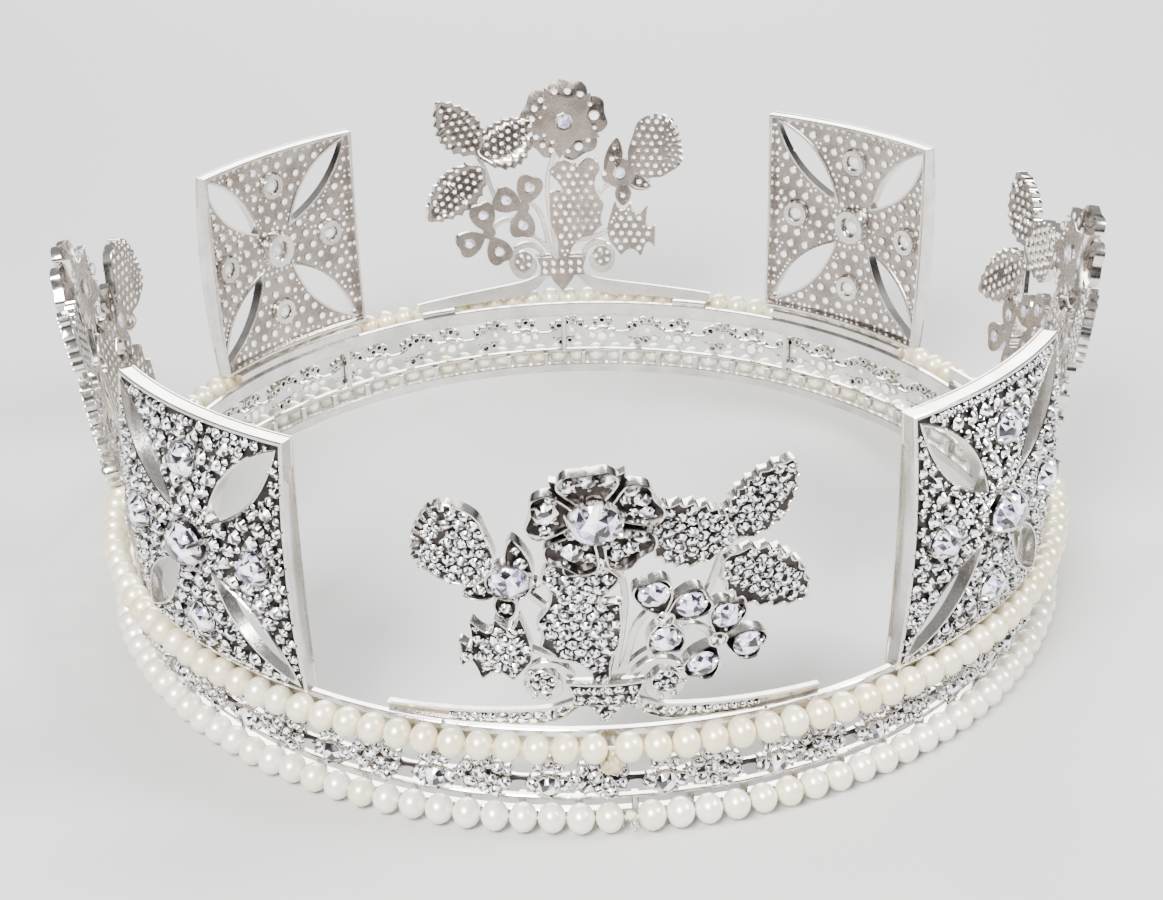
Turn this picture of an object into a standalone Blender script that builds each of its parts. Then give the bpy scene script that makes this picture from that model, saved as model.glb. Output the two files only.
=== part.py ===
"""A full circlet tiara that stands by itself: a pierced metal circlet with a band of set stones between
two strings of pearls, four crosses pattee and four flower sprays of rose, thistle and shamrock.

Metres, +Z up. The origin is the middle of the circlet on the surface that it stands on, and the front
is at -Y. Crosses and sprays are worked out flat, with u along the circlet, v up and w outward, and are
then bent round the circlet.
"""

import math

import bmesh
import bpy
import numpy as np
from mathutils import Matrix

# Circlet: rails, window row and supports
INNER_RADIUS = 0.0902
RING_SIDES = 60
BASE_STRIP_THICKNESS = 0.0016
BASE_STRIP_HEIGHT = 0.0022
WINDOW_HEIGHT = 0.0035
WINDOW_COUNT = 60
POST_WIDTH = 0.0012
POST_THICKNESS = 0.0010
SILL_WIDTH = 0.0026
SILL_HEIGHT = 0.0008
BAND_OPENING_HEIGHT = 0.0088
STAY_COUNT = 10
STAY_WIDTH = 0.0012
STAY_THICKNESS = 0.0009
SHELF_WIDTH = 0.0032
SHELF_HEIGHT = 0.0008
TOP_STRIP_THICKNESS = 0.0013
TOP_STRIP_HEIGHT = 0.0026
SUPPORT_INSET = 0.0008
SUPPORT_WIDTH = 0.0018
LAP_DEPTH = 0.0004
GAP_WIDTH = 0.0003

# Stone band
BAND_THICKNESS = 0.0008
BAND_RELIEF_DEPTH = 0.0010
MOTIF_COUNT = 30

# Pearl strings
PEARL_DIAMETER = 0.0054
LOWER_STRING_CLEARANCE = 0.0005
LOWER_STRING_LIFT = 0.00036
UPPER_STRING_CLEARANCE = 0.0015
UPPER_STRING_LIFT = -0.00005
STRING_STATIONS = 48

# Crosses
CROSS_WIDTH = 0.0443
CROSS_HEIGHT = 0.0478
CROSS_OFFSET = -0.0004
CROSS_DEPTH = 0.0031
CROSS_FRONT_BULGE_HEIGHT = 0.0018
CROSS_BACK_BULGE_HEIGHT = 0.0007
CROSS_CLEARANCE = 0.0004
CROSS_WALL_THICKNESS = 0.0008
CROSS_PLATE_THICKNESS = 0.0012
CROSS_PLATE_RECESS = 0.0002
OPENING_START = 0.22
OPENING_END = 0.92
OPENING_WIDTH = 0.0060
OPENING_RIM_THICKNESS = 0.0005
CENTRE_STONE_DIAMETER = 0.0080
CENTRE_COLLET_HEIGHT = 0.0006
COLLET_FOOT_SHARE = 0.56
COLLET_TOP_SHARE = 0.48
ARM_STONE_DIAMETER = 0.0060
ARM_STONE_DISTANCE = 0.0154
CROWN_SHARE = 0.24
TABLE_SHARE = 0.56
STONE_FACETS = 8

# Sprays
SPRAY_HEIGHT = 0.0520
SPRAY_LEAN = math.radians(7.6)
SPRAY_CLEARANCE = 0.0007
SPRAY_LIFT = 0.0033
SPRAY_THICKNESS = 0.0016
STEM_THICKNESS = 0.0010
STEM_WIDTH = 0.0010
COLLAR_THICKNESS = 0.0024
SWAG_LENGTH = 0.0370
SWAG_THICKNESS = 0.0014
ROSE_RADIUS = 0.0098
ROSE_RELIEF_DEPTH = 0.0016
ROSE_COLLET_RADIUS = 0.0040
ROSE_STONE_DIAMETER = 0.0076
CALYX_RADIUS = 0.0044
CALYX_STONE_DIAMETER = 0.0060
TREFOIL_LEAF_RADIUS = 0.0030
TREFOIL_STONE_DIAMETER = 0.0048
TREFOIL_STONE_HEIGHT = 0.0011
TREFOIL_HUB_RADIUS = 0.0014
SCROLL_WIDTH = 0.0013
SCROLL_GROWTH = 2.2
SCROLL_STATIONS = 7
NOTCH_SHARE = 0.82
LEAF_TEETH = 3
LEAF_FULLNESS = 0.85
HEAD_TEETH = 3
HEAD_FULLNESS = 1.5

FLAT_STEP_WIDTH = 0.0186
FLAT_ANGLE = 0.002
WELD = 1e-6
BULGE_STRIPS = 3

FRONT, RIGHT, BACK, LEFT = 270, 0, 90, 180
CROSS_PLACES = {"front_left": 225, "front_right": 315, "back_right": 45, "back_left": 135}
SPRAY_PLACES = {"front": FRONT, "right": RIGHT, "back": BACK, "left": LEFT}

# One motif of the stone band. Shares of the motif's length, of the band's height and of how proud it is.
BAND_MOTIF = (
    # along, low, high, proud
    (0.00, 0.00, 0.96, 1.00),
    (0.13, 0.08, 0.80, 0.80),
    (0.20, 0.38, 0.58, 0.20),
    (0.33, 0.36, 1.00, 0.60),
    (0.60, 0.08, 0.80, 0.70),
    (0.79, 0.36, 0.56, 0.20),
    (0.87, 0.08, 0.80, 0.80),
)

# The swag bars of a spray, from the collar outward. Shares of the swag's reach and of the spray's height.
SWAG_ROWS = (
    # out, low, high
    (0.10, 0.058, 0.095),
    (0.17, 0.010, 0.068),
    (0.27, -0.022, 0.044),
    (0.47, -0.031, 0.027),
    (0.72, -0.037, 0.014),
    (1.00, -0.040, 0.003),
)

# The rose leaves. Shares of the spray's height, with each half's widest reach.
ROSE_LEAVES = (
    # base u, base v, tip u, tip v, left reach, right reach
    (0.352, 0.680, 0.525, 0.935, 0.085, 0.105),
    (0.372, 0.672, 0.110, 0.815, 0.150, 0.080),
    (0.342, 0.608, 0.620, 0.392, 0.105, 0.100),
)

# The lobed thistle leaves, going round from the base. Shares of the leaf's length and width.
BIG_LEAF = {"base": (-0.008, 0.145), "tip": (-0.060, 0.615), "width": 0.230}
BIG_LEAF_EDGE = (
    # along, left
    (0.15, 0.19), (0.24, 0.60), (0.34, 0.44), (0.39, 0.74), (0.52, 0.50), (0.60, 0.70), (0.73, 0.34),
    (0.97, 0.52), (1.02, 0.24), (0.93, 0.06), (0.98, -0.28), (0.86, -0.50), (0.74, -0.16),
    (0.66, -0.46), (0.54, -0.22), (0.40, -0.40), (0.02, -0.12),
)
LOW_LEAF = {"base": (-0.222, 0.292), "tip": (-0.432, 0.270), "width": 0.250}
LOW_LEAF_EDGE = (
    # along, left
    (0.02, 0.14), (0.28, 0.48), (0.42, 0.28), (0.60, 0.28), (0.81, 0.45), (0.82, 0.24),
    (1.11, 0.26), (0.98, 0.02), (1.02, -0.22), (0.80, -0.18), (0.70, -0.54), (0.60, -0.36),
    (0.32, -0.56), (0.20, -0.38), (-0.04, -0.48), (0.02, -0.20),
)
THISTLE_HEAD = (-0.325, 0.580, -0.490, 0.840, 0.160, 0.090)
CALYX_PLACE = (-0.275, 0.560)
CALYX_EDGE = (
    # degrees, reach as a share of the calyx's radius
    (160, 1.00), (118, 1.20), (84, 1.72), (18, 1.12), (-54, 1.10), (-94, 1.60), (-125, 1.10),
    (-155, 1.60), (-172, 1.00),
)
ROSE_PLACE = (-0.027, 0.800)
PETAL_EDGE = (
    # reach, turn as a share of half a petal
    (0.28, -0.60), (0.74, -0.92), (1.00, -0.50), (1.00, 0.50), (0.74, 0.92), (0.28, 0.60),
)
TREFOILS = (
    # centre, then each leaf's stone, as shares of the spray's height
    ((0.173, 0.404), (0.140, 0.498), (0.252, 0.446), (0.179, 0.319)),
    ((0.337, 0.298), (0.362, 0.385), (0.435, 0.258), (0.296, 0.202)),
)
STEMS = (
    # points from the top down, as shares of the spray's height
    ((0.005, 0.700), (0.054, 0.530), (0.050, 0.365), (0.020, 0.150)),
    ((-0.225, 0.505), (-0.160, 0.430)),
    ((-0.228, 0.286), (-0.150, 0.248), (-0.062, 0.229), (-0.012, 0.150)),
    ((0.368, 0.672), (0.338, 0.602), (0.306, 0.485), (0.268, 0.435)),
    ((0.175, 0.408), (0.128, 0.418), (0.086, 0.350), (0.062, 0.235), (0.026, 0.150)),
    ((0.172, 0.295), (0.095, 0.240), (0.024, 0.150)),
    ((0.200, 0.338), (0.265, 0.350), (0.337, 0.300)),
)
COLLAR_EDGE = (
    (-0.108, 0.066), (0.108, 0.066), (0.102, 0.118), (0.118, 0.157), (-0.118, 0.157), (-0.102, 0.118),
)
FINIAL_EDGE = ((-0.065, 0.080), (-0.030, 0.030), (0.000, -0.012), (0.030, 0.030), (0.065, 0.080))
SCROLL_PLACE = (0.190, 0.140)
SCROLL_RADII = (0.118, 0.046)
SCROLL_TURN = (160, -170)

# Levels above the surface that the tiara stands on
SILL_LEVEL = BASE_STRIP_HEIGHT + WINDOW_HEIGHT
BAND_LEVEL = SILL_LEVEL + SILL_HEIGHT
SHELF_LEVEL = BAND_LEVEL + BAND_OPENING_HEIGHT
TOP_STRIP_LEVEL = SHELF_LEVEL + SHELF_HEIGHT
RIM_LEVEL = TOP_STRIP_LEVEL + TOP_STRIP_HEIGHT
LOWER_STRING_LEVEL = PEARL_DIAMETER / 2 + LOWER_STRING_LIFT
UPPER_STRING_LEVEL = SHELF_LEVEL + PEARL_DIAMETER / 2 + UPPER_STRING_LIFT
CROSS_LEVEL = UPPER_STRING_LEVEL + PEARL_DIAMETER / 2 + CROSS_CLEARANCE
SPRAY_LEVEL = RIM_LEVEL + SPRAY_LIFT

# Distances from the circlet's axis
BAND_RADIUS = INNER_RADIUS + POST_THICKNESS + GAP_WIDTH + BAND_THICKNESS / 2
LOWER_STRING_RADIUS = INNER_RADIUS + BASE_STRIP_THICKNESS + LOWER_STRING_CLEARANCE + PEARL_DIAMETER / 2
UPPER_STRING_RADIUS = INNER_RADIUS + TOP_STRIP_THICKNESS + UPPER_STRING_CLEARANCE + PEARL_DIAMETER / 2
CROSS_RADIUS = UPPER_STRING_RADIUS + CROSS_OFFSET
SPRAY_RADIUS = INNER_RADIUS + TOP_STRIP_THICKNESS + SPRAY_CLEARANCE


def start_scene():
    """Removes what is in the scene and returns the collections of the parts and of the work pieces."""
    for thing in list(bpy.data.objects):
        bpy.data.objects.remove(thing)
    found = []
    for name in ("tiara", "cutters"):
        collection = bpy.data.collections.new(name)
        bpy.context.scene.collection.children.link(collection)
        found.append(collection)
    return found


def finish(name, colour, metallic, roughness):
    """A Principled BSDF material."""
    material = bpy.data.materials.new(name)
    material.use_nodes = True
    shader = material.node_tree.nodes["Principled BSDF"]
    shader.inputs["Base Color"].default_value = (*colour, 1.0)
    shader.inputs["Metallic"].default_value = metallic
    shader.inputs["Roughness"].default_value = roughness
    return material


def place(name, mesh, material, turn=0.0, matrix=None):
    """Makes one part of the tiara from a mesh, turned round the circlet by so many degrees."""
    if not mesh.materials:
        mesh.materials.append(material)
    part = bpy.data.objects.new(name, mesh)
    part.matrix_world = matrix or Matrix.Rotation(math.radians(turn), 4, "Z")
    parts.objects.link(part)
    return part


def simplify(shape):
    """Merges the triangles of each flat face, up to the edges that are marked as seams."""
    everything = {"verts": shape.verts, "edges": shape.edges}
    bmesh.ops.dissolve_limit(shape, angle_limit=FLAT_ANGLE, delimit={"SEAM"}, **everything)
    bmesh.ops.triangulate(shape, faces=shape.faces)


def evaluated_mesh(thing, merge_flat=False):
    """The mesh of a work piece with its modifiers applied and its doubles merged, and the piece removed."""
    bpy.context.view_layer.update()
    graph = bpy.context.evaluated_depsgraph_get()
    mesh = bpy.data.meshes.new_from_object(thing.evaluated_get(graph))
    bpy.data.objects.remove(thing)
    shape = bmesh.new()
    shape.from_mesh(mesh)
    bmesh.ops.remove_doubles(shape, verts=shape.verts, dist=WELD)
    if merge_flat:
        simplify(shape)
    shape.to_mesh(mesh)
    shape.free()
    return mesh


def plate(outlines, low, high):
    """A flat plate between two levels: the first outline is its edge, and the others are holes in it."""
    curve = bpy.data.curves.new("outline", "CURVE")
    curve.dimensions = "2D"
    curve.fill_mode = "BOTH"
    curve.extrude = (high - low) / 2
    for outline in outlines:
        spline = curve.splines.new("POLY")
        spline.points.add(len(outline) - 1)
        for point, (x, y) in zip(spline.points, outline):
            point.co = (x, y, 0.0, 1.0)
        spline.use_cyclic_u = True
    thing = bpy.data.objects.new("plate", curve)
    cutters.objects.link(thing)
    mesh = evaluated_mesh(thing)
    mesh.transform(Matrix.Translation((0, 0, (low + high) / 2)))
    return mesh


def frustum(at, foot, top, low, high):
    """An eight-sided stone seat or crown, with a flat table."""
    shape = bmesh.new()
    middle = Matrix.Translation((at[0], at[1], (low + high) / 2))
    bmesh.ops.create_cone(
        shape, cap_ends=True, segments=STONE_FACETS, radius1=foot, radius2=top, depth=high - low, matrix=middle
    )
    mesh = bpy.data.meshes.new("frustum")
    shape.to_mesh(mesh)
    shape.free()
    return mesh


def block(radius, thickness, width, low, high, degrees):
    """An upright bar on the circlet, at an angle round it."""
    shape = bmesh.new()
    bmesh.ops.create_cube(shape, size=1.0)
    size = Matrix.Diagonal((thickness, width, high - low, 1.0))
    there = Matrix.Translation((radius + thickness / 2, 0, (low + high) / 2))
    turned = Matrix.Rotation(math.radians(degrees), 4, "Z")
    bmesh.ops.transform(shape, matrix=turned @ there @ size, verts=shape.verts)
    mesh = bpy.data.meshes.new("block")
    shape.to_mesh(mesh)
    shape.free()
    return mesh


def joined(name, meshes):
    """The Boolean union of closed meshes, as one mesh."""
    group = bpy.data.collections.new("joined")
    cutters.children.link(group)
    for mesh in meshes[1:]:
        helper = bpy.data.objects.new("helper", mesh)
        helper.hide_render = True
        helper.display_type = "WIRE"
        group.objects.link(helper)
    body = bpy.data.objects.new("body", meshes[0])
    cutters.objects.link(body)
    union = body.modifiers.new("join", "BOOLEAN")
    union.operation = "UNION"
    union.solver = "EXACT"
    union.operand_type = "COLLECTION"
    union.collection = group
    mesh = evaluated_mesh(body, merge_flat=True)
    for helper in list(group.objects):
        bpy.data.objects.remove(helper)
    bpy.data.collections.remove(group)
    mesh.name = name
    return mesh


def cut_strips(shape, axis, low, high, count):
    """Cuts a shape into strips of equal width across one axis, with seams where it is cut."""
    for cut in range(1, count):
        place = [0.0, 0.0, 0.0]
        place[axis] = low + (high - low) * cut / count
        normal = [float(other == axis) for other in range(3)]
        everything = list(shape.verts) + list(shape.edges) + list(shape.faces)
        found = bmesh.ops.bisect_plane(shape, geom=everything, dist=WELD, plane_co=place, plane_no=normal)
        for piece in found["geom_cut"]:
            if isinstance(piece, bmesh.types.BMEdge):
                piece.seam = True


def cross_bulge(v, w):
    """How far a cross swells outward at half its height, more at its face than at its back."""
    share = 1.0 - (2.0 * v / CROSS_HEIGHT - 1.0) ** 2
    forward = 1.0 + w / CROSS_DEPTH
    return share * (CROSS_BACK_BULGE_HEIGHT + (CROSS_FRONT_BULGE_HEIGHT - CROSS_BACK_BULGE_HEIGHT) * forward)


def bent(mesh, radius, level, lean=0.0, bulged=False):
    """Bends a flat mesh round the circlet: its u runs along the ring at this radius, v up along the lean
    and w outward. It is first cut into strips, so that its faces follow the curve."""
    shape = bmesh.new()
    shape.from_mesh(mesh)
    reach = max(abs(vertex.co.x) for vertex in shape.verts)
    cut_strips(shape, 0, -reach, reach, math.ceil(2 * reach / FLAT_STEP_WIDTH))
    if bulged:
        cut_strips(shape, 1, 0.0, CROSS_HEIGHT, BULGE_STRIPS)
    simplify(shape)
    for vertex in shape.verts:
        u, v, w = vertex.co
        if bulged:
            w += cross_bulge(v, w)
        out = radius + v * math.sin(lean) + w * math.cos(lean)
        up = level + v * math.cos(lean) - w * math.sin(lean)
        vertex.co = (out * math.cos(u / radius), out * math.sin(u / radius), up)
    shape.to_mesh(mesh)
    shape.free()
    return mesh


def arc(radius, sides, start, end):
    """Points along an arc round the circlet's axis, with both its ends."""
    turns = np.radians(np.linspace(start, end, sides + 1))
    return [(radius * math.cos(turn), radius * math.sin(turn)) for turn in turns]


def turned_ring(profile):
    """A ring turned round the circlet's axis. Its profile starts at the outer top and runs down."""
    count = len(profile)
    mesh = bpy.data.meshes.new("profile")
    edges = [(corner, (corner + 1) % count) for corner in range(count)]
    mesh.from_pydata([(radius, 0, level) for radius, level in profile], edges, [])
    thing = bpy.data.objects.new("ring", mesh)
    cutters.objects.link(thing)
    turn = thing.modifiers.new("turn", "SCREW")
    turn.steps = turn.render_steps = RING_SIDES
    turn.use_merge_vertices = True
    turn.merge_threshold = WELD
    return evaluated_mesh(thing)


def flat_ring(width, low, high):
    """A ring of square section that starts at the circlet's inner side."""
    outer = INNER_RADIUS + width
    return turned_ring([(outer, high), (outer, low), (INNER_RADIUS, low), (INNER_RADIUS, high)])


def top_rail():
    """The shelf over the stone band and the upright strip on it, which stands inside the pearls."""
    shelf, strip = INNER_RADIUS + SHELF_WIDTH, INNER_RADIUS + TOP_STRIP_THICKNESS
    inside = [(INNER_RADIUS, SHELF_LEVEL), (INNER_RADIUS, RIM_LEVEL)]
    outside = [(strip, RIM_LEVEL), (strip, TOP_STRIP_LEVEL)]
    return turned_ring([(shelf, TOP_STRIP_LEVEL), (shelf, SHELF_LEVEL), *inside, *outside])


def support(low, high, middle, half_angle, sides):
    """A curved step on the top strip's outer side, which carries a cross or the end of a swag."""
    inner = INNER_RADIUS + SUPPORT_INSET
    start, end = middle - half_angle, middle + half_angle
    outer_arc = arc(inner + SUPPORT_WIDTH, sides, start, end)
    inner_arc = arc(inner, sides, start, end)
    return plate([outer_arc + inner_arc[::-1]], low, high)


def circlet_frame():
    """Base strip, window posts, sill, stays behind the stone band, shelf and top strip, soldered in one."""
    pieces = [
        flat_ring(BASE_STRIP_THICKNESS, 0, BASE_STRIP_HEIGHT),
        flat_ring(SILL_WIDTH, SILL_LEVEL, BAND_LEVEL),
        top_rail(),
    ]
    for post in range(WINDOW_COUNT):
        angle = (post + 0.5) * 360 / WINDOW_COUNT
        low, high = BASE_STRIP_HEIGHT - LAP_DEPTH, SILL_LEVEL + LAP_DEPTH
        pieces.append(block(INNER_RADIUS, POST_THICKNESS, POST_WIDTH, low, high, angle))
    for stay in range(STAY_COUNT):
        angle = (stay + 0.5) * 360 / STAY_COUNT
        low, high = BAND_LEVEL - LAP_DEPTH, SHELF_LEVEL + LAP_DEPTH
        pieces.append(block(INNER_RADIUS, STAY_THICKNESS, STAY_WIDTH, low, high, angle))
    for middle in CROSS_PLACES.values():
        half_angle = math.degrees((CROSS_WIDTH / 2 - CROSS_DEPTH) / CROSS_RADIUS)
        pieces.append(support(RIM_LEVEL - LAP_DEPTH * 2, CROSS_LEVEL - GAP_WIDTH, middle, half_angle, 4))
    swag_foot = SPRAY_LEVEL + SWAG_ROWS[-1][1] * SPRAY_HEIGHT
    swag_near, swag_far = (math.degrees(SWAG_LENGTH * row[0] / SPRAY_RADIUS) for row in SWAG_ROWS[-2:])
    for middle in SPRAY_PLACES.values():
        for side in (-1, 1):
            there = middle + side * (swag_near + swag_far) / 2
            half_angle = (swag_far - swag_near) / 2.5
            pieces.append(support(RIM_LEVEL - LAP_DEPTH * 2, swag_foot - GAP_WIDTH, there, half_angle, 1))
    return joined("circlet_frame", pieces)


def stone_band():
    """The band of stone clusters and leaf motifs between the pearl strings. Each motif is a loft through
    the rows of BAND_MOTIF, and narrow necks join the clusters and the leaves into one ring."""
    low_edge, height = BAND_LEVEL + GAP_WIDTH, BAND_OPENING_HEIGHT - 2 * GAP_WIDTH
    inner = BAND_RADIUS - BAND_THICKNESS / 2
    along, low, high, proud = np.tile(np.array(BAND_MOTIF).T, MOTIF_COUNT)
    turn = (np.repeat(np.arange(MOTIF_COUNT), len(BAND_MOTIF)) + along) * 2 * math.pi / MOTIF_COUNT
    outer = inner + BAND_THICKNESS + BAND_RELIEF_DEPTH * proud
    levels = (low_edge + height * low, low_edge + height * high)
    corners = ((inner, levels[0]), (outer, levels[0]), (outer, levels[1]), (inner, levels[1]))
    points = [np.column_stack([out * np.cos(turn), out * np.sin(turn), up]) for out, up in corners]
    stations = len(turn)
    faces = []
    for station in range(stations):
        following = (station + 1) % stations
        for corner in range(4):
            beside = (corner + 1) % 4
            faces.append(
                (
                    corner * stations + station,
                    corner * stations + following,
                    beside * stations + following,
                    beside * stations + station,
                )
            )
    mesh = bpy.data.meshes.new("stone_band")
    mesh.from_pydata(np.concatenate(points).tolist(), [], faces)
    shape = bmesh.new()
    shape.from_mesh(mesh)
    bmesh.ops.recalc_face_normals(shape, faces=shape.faces)
    shape.to_mesh(mesh)
    shape.free()
    return mesh


def pearl_string(name, radius, level, material):
    """The outer form of a closed string of pearls, as a tube of the pearls' diameter."""
    curve = bpy.data.curves.new(name, "CURVE")
    curve.dimensions = "3D"
    curve.bevel_depth = PEARL_DIAMETER / 2
    curve.bevel_resolution = 2
    spline = curve.splines.new("POLY")
    spline.points.add(STRING_STATIONS - 1)
    turns = np.arange(STRING_STATIONS) * 2 * math.pi / STRING_STATIONS
    for point, turn in zip(spline.points, turns):
        point.co = (radius * math.cos(turn), radius * math.sin(turn), level, 1.0)
    spline.use_cyclic_u = True
    curve.materials.append(material)
    part = bpy.data.objects.new(name, curve)
    parts.objects.link(part)
    return part


def pointed_opening(along_start, along_end, width, turn):
    """The outline of an opening that is pointed at both ends, along a diagonal of the cross."""
    shares = np.array([0.0, 0.22, 0.5, 0.78, 1.0])
    reach = along_start + (along_end - along_start) * shares
    half = width / 2 * np.sin(np.pi * shares) ** 0.85
    outline = list(zip(reach, half)) + list(zip(reach, -half))[-2:0:-1]
    middle = CROSS_HEIGHT / 2
    c, s = math.cos(turn), math.sin(turn)
    return [(x * c - y * s, middle + x * s + y * c) for x, y in outline]


def rectangle(width, low, high):
    return [(-width / 2, low), (width / 2, low), (width / 2, high), (-width / 2, high)]


def cross():
    """A cross pattee as a shallow tray: polished walls round a plate of stones, and four pointed openings
    with polished rims that part its arms."""
    corner = math.hypot(CROSS_WIDTH / 2, CROSS_HEIGHT / 2)
    slope = math.atan2(CROSS_HEIGHT, CROSS_WIDTH)
    turns = [slope, math.pi - slope, math.pi + slope, -slope]
    start, end = corner * OPENING_START, corner * OPENING_END
    outer = rectangle(CROSS_WIDTH, 0, CROSS_HEIGHT)
    wall = CROSS_WALL_THICKNESS
    inner = rectangle(CROSS_WIDTH - 2 * wall, wall, CROSS_HEIGHT - wall)
    middle = rectangle(CROSS_WIDTH - wall, wall / 2, CROSS_HEIGHT - wall / 2)
    rim = OPENING_RIM_THICKNESS
    holes = [pointed_opening(start - rim / 2, end + rim / 2, OPENING_WIDTH + rim, turn) for turn in turns]
    face = -CROSS_PLATE_RECESS
    pieces = [
        plate([outer, inner], -CROSS_DEPTH, 0),
        plate([middle] + holes, face - CROSS_PLATE_THICKNESS, face),
    ]
    for turn in turns:
        edge = pointed_opening(start - 2 * rim, end + 2 * rim, OPENING_WIDTH + 2 * rim, turn)
        opening = pointed_opening(start, end, OPENING_WIDTH, turn)
        pieces.append(plate([edge, opening], face - CROSS_PLATE_THICKNESS - rim, rim / 5))
    foot, top = CENTRE_STONE_DIAMETER * COLLET_FOOT_SHARE, CENTRE_STONE_DIAMETER * COLLET_TOP_SHARE
    pieces.append(frustum((0, CROSS_HEIGHT / 2), foot, top, face - LAP_DEPTH, CENTRE_COLLET_HEIGHT))
    return bent(joined("cross", pieces), CROSS_RADIUS, CROSS_LEVEL, bulged=True)


def cut_stone(name, diameter):
    """A stone cut with a table and a crown of eight facets, flat where it lies in its seat."""
    mesh = frustum((0, 0), diameter / 2, diameter / 2 * TABLE_SHARE, 0, diameter * CROWN_SHARE)
    mesh.name = name
    return mesh


def seat(azimuth, radius, level, lean, u, v, w):
    """The matrix that stands a stone on a bent plate, with its table facing outward."""
    out = radius + v * math.sin(lean) + w * math.cos(lean)
    up = level + v * math.cos(lean) - w * math.sin(lean)
    turned = Matrix.Rotation(math.radians(azimuth) + u / radius, 4, "Z")
    return turned @ Matrix.Translation((out, 0, up)) @ Matrix.Rotation(math.pi / 2 + lean, 4, "Y")


def sized(outline):
    """An outline given in shares of the spray's height."""
    return [(u * SPRAY_HEIGHT, v * SPRAY_HEIGHT) for u, v in outline]


def along_axis(base, tip, rows):
    """Points given along the line from base to tip and to its left, in shares of its length."""
    base, axis = np.array(base), np.array(tip) - np.array(base)
    left = np.array([-axis[1], axis[0]]) / np.hypot(*axis)
    return [tuple(base + axis * along + left * reach) for along, reach in rows]


def toothed_leaf(row, teeth, fullness):
    """A leaf with saw teeth. Its half width follows the sine of the share along it, raised to its fullness."""
    base_u, base_v, tip_u, tip_v, left, right = row
    steps = np.arange(1, 2 * teeth) / (2 * teeth)
    depth = np.where(np.arange(1, 2 * teeth) % 2, 1.0, NOTCH_SHARE)
    half = np.sin(np.pi * steps**fullness) ** 0.7 * depth
    rows = [(0.0, 0.0), *zip(steps, half * left), (1.0, 0.0), *zip(steps[::-1], -half[::-1] * right)]
    return sized(along_axis((base_u, base_v), (tip_u, tip_v), rows))


def lobed_leaf(leaf, edge):
    """A thistle leaf with spiky lobes, from its axis and the rows of its edge."""
    rows = [(along, left * leaf["width"]) for along, left in edge]
    return sized(along_axis(leaf["base"], leaf["tip"], rows))


def ribbon(points, widths):
    """The outline of a strip of changing width along a path."""
    path = np.array(points)
    run = np.gradient(path, axis=0)
    side = np.column_stack([-run[:, 1], run[:, 0]]) / np.hypot(run[:, 0], run[:, 1])[:, None]
    half = np.array(widths)[:, None] / 2
    return [tuple(p) for p in path + side * half] + [tuple(p) for p in (path - side * half)[::-1]]


def polar(place, rows, unit):
    """Points given by turn in degrees and reach, round a place that is a share of the spray's height."""
    u0, v0 = place[0] * SPRAY_HEIGHT, place[1] * SPRAY_HEIGHT
    found = []
    for degrees, reach in rows:
        turn = math.radians(degrees)
        found.append((u0 + reach * unit * math.cos(turn), v0 + reach * unit * math.sin(turn)))
    return found


def swags():
    """Both tapering bars that sweep from the collar out along the rail, as one outline."""
    rows = [(out * SWAG_LENGTH, low * SPRAY_HEIGHT, high * SPRAY_HEIGHT) for out, low, high in SWAG_ROWS]
    top = [(-u, high) for u, _, high in rows[::-1]] + [(u, high) for u, _, high in rows]
    bottom = [(u, low) for u, low, _ in rows[::-1]] + [(-u, low) for u, low, _ in rows]
    return top + bottom


def scroll(side):
    """A volute that leaves the collar's upper corner and curls in, growing wider to its eye."""
    turns = np.radians(np.linspace(*SCROLL_TURN, SCROLL_STATIONS))
    reach = np.linspace(*SCROLL_RADII, SCROLL_STATIONS)
    u = side * (SCROLL_PLACE[0] + reach * np.cos(turns))
    v = SCROLL_PLACE[1] + reach * np.sin(turns)
    widths = SCROLL_WIDTH * np.linspace(1.0, SCROLL_GROWTH, SCROLL_STATIONS)
    return ribbon(np.column_stack([u, v]) * SPRAY_HEIGHT, widths)


def rose():
    """Five two-lobed petals over a star of sepals, round the collet of the rose's stone."""
    pieces = []
    step = 360 / 5
    half = SPRAY_THICKNESS / 2
    for petal in range(5):
        facing = 98 + petal * step
        edge = [(facing + turn * step / 2, reach) for reach, turn in PETAL_EDGE]
        pieces.append(plate([polar(ROSE_PLACE, edge, ROSE_RADIUS)], 0, ROSE_RELIEF_DEPTH))
    sepals = [(98 + (k + 1) * step / 2, (0.50, 0.98)[k % 2 == 0]) for k in range(10)]
    pieces.append(plate([polar(ROSE_PLACE, sepals, ROSE_RADIUS)], -half, LAP_DEPTH))
    middle = (ROSE_PLACE[0] * SPRAY_HEIGHT, ROSE_PLACE[1] * SPRAY_HEIGHT)
    foot, top = ROSE_COLLET_RADIUS * 1.1, ROSE_COLLET_RADIUS
    pieces.append(frustum(middle, foot, top, -half - LAP_DEPTH / 2, ROSE_RELIEF_DEPTH + 2 * LAP_DEPTH))
    return pieces


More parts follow.
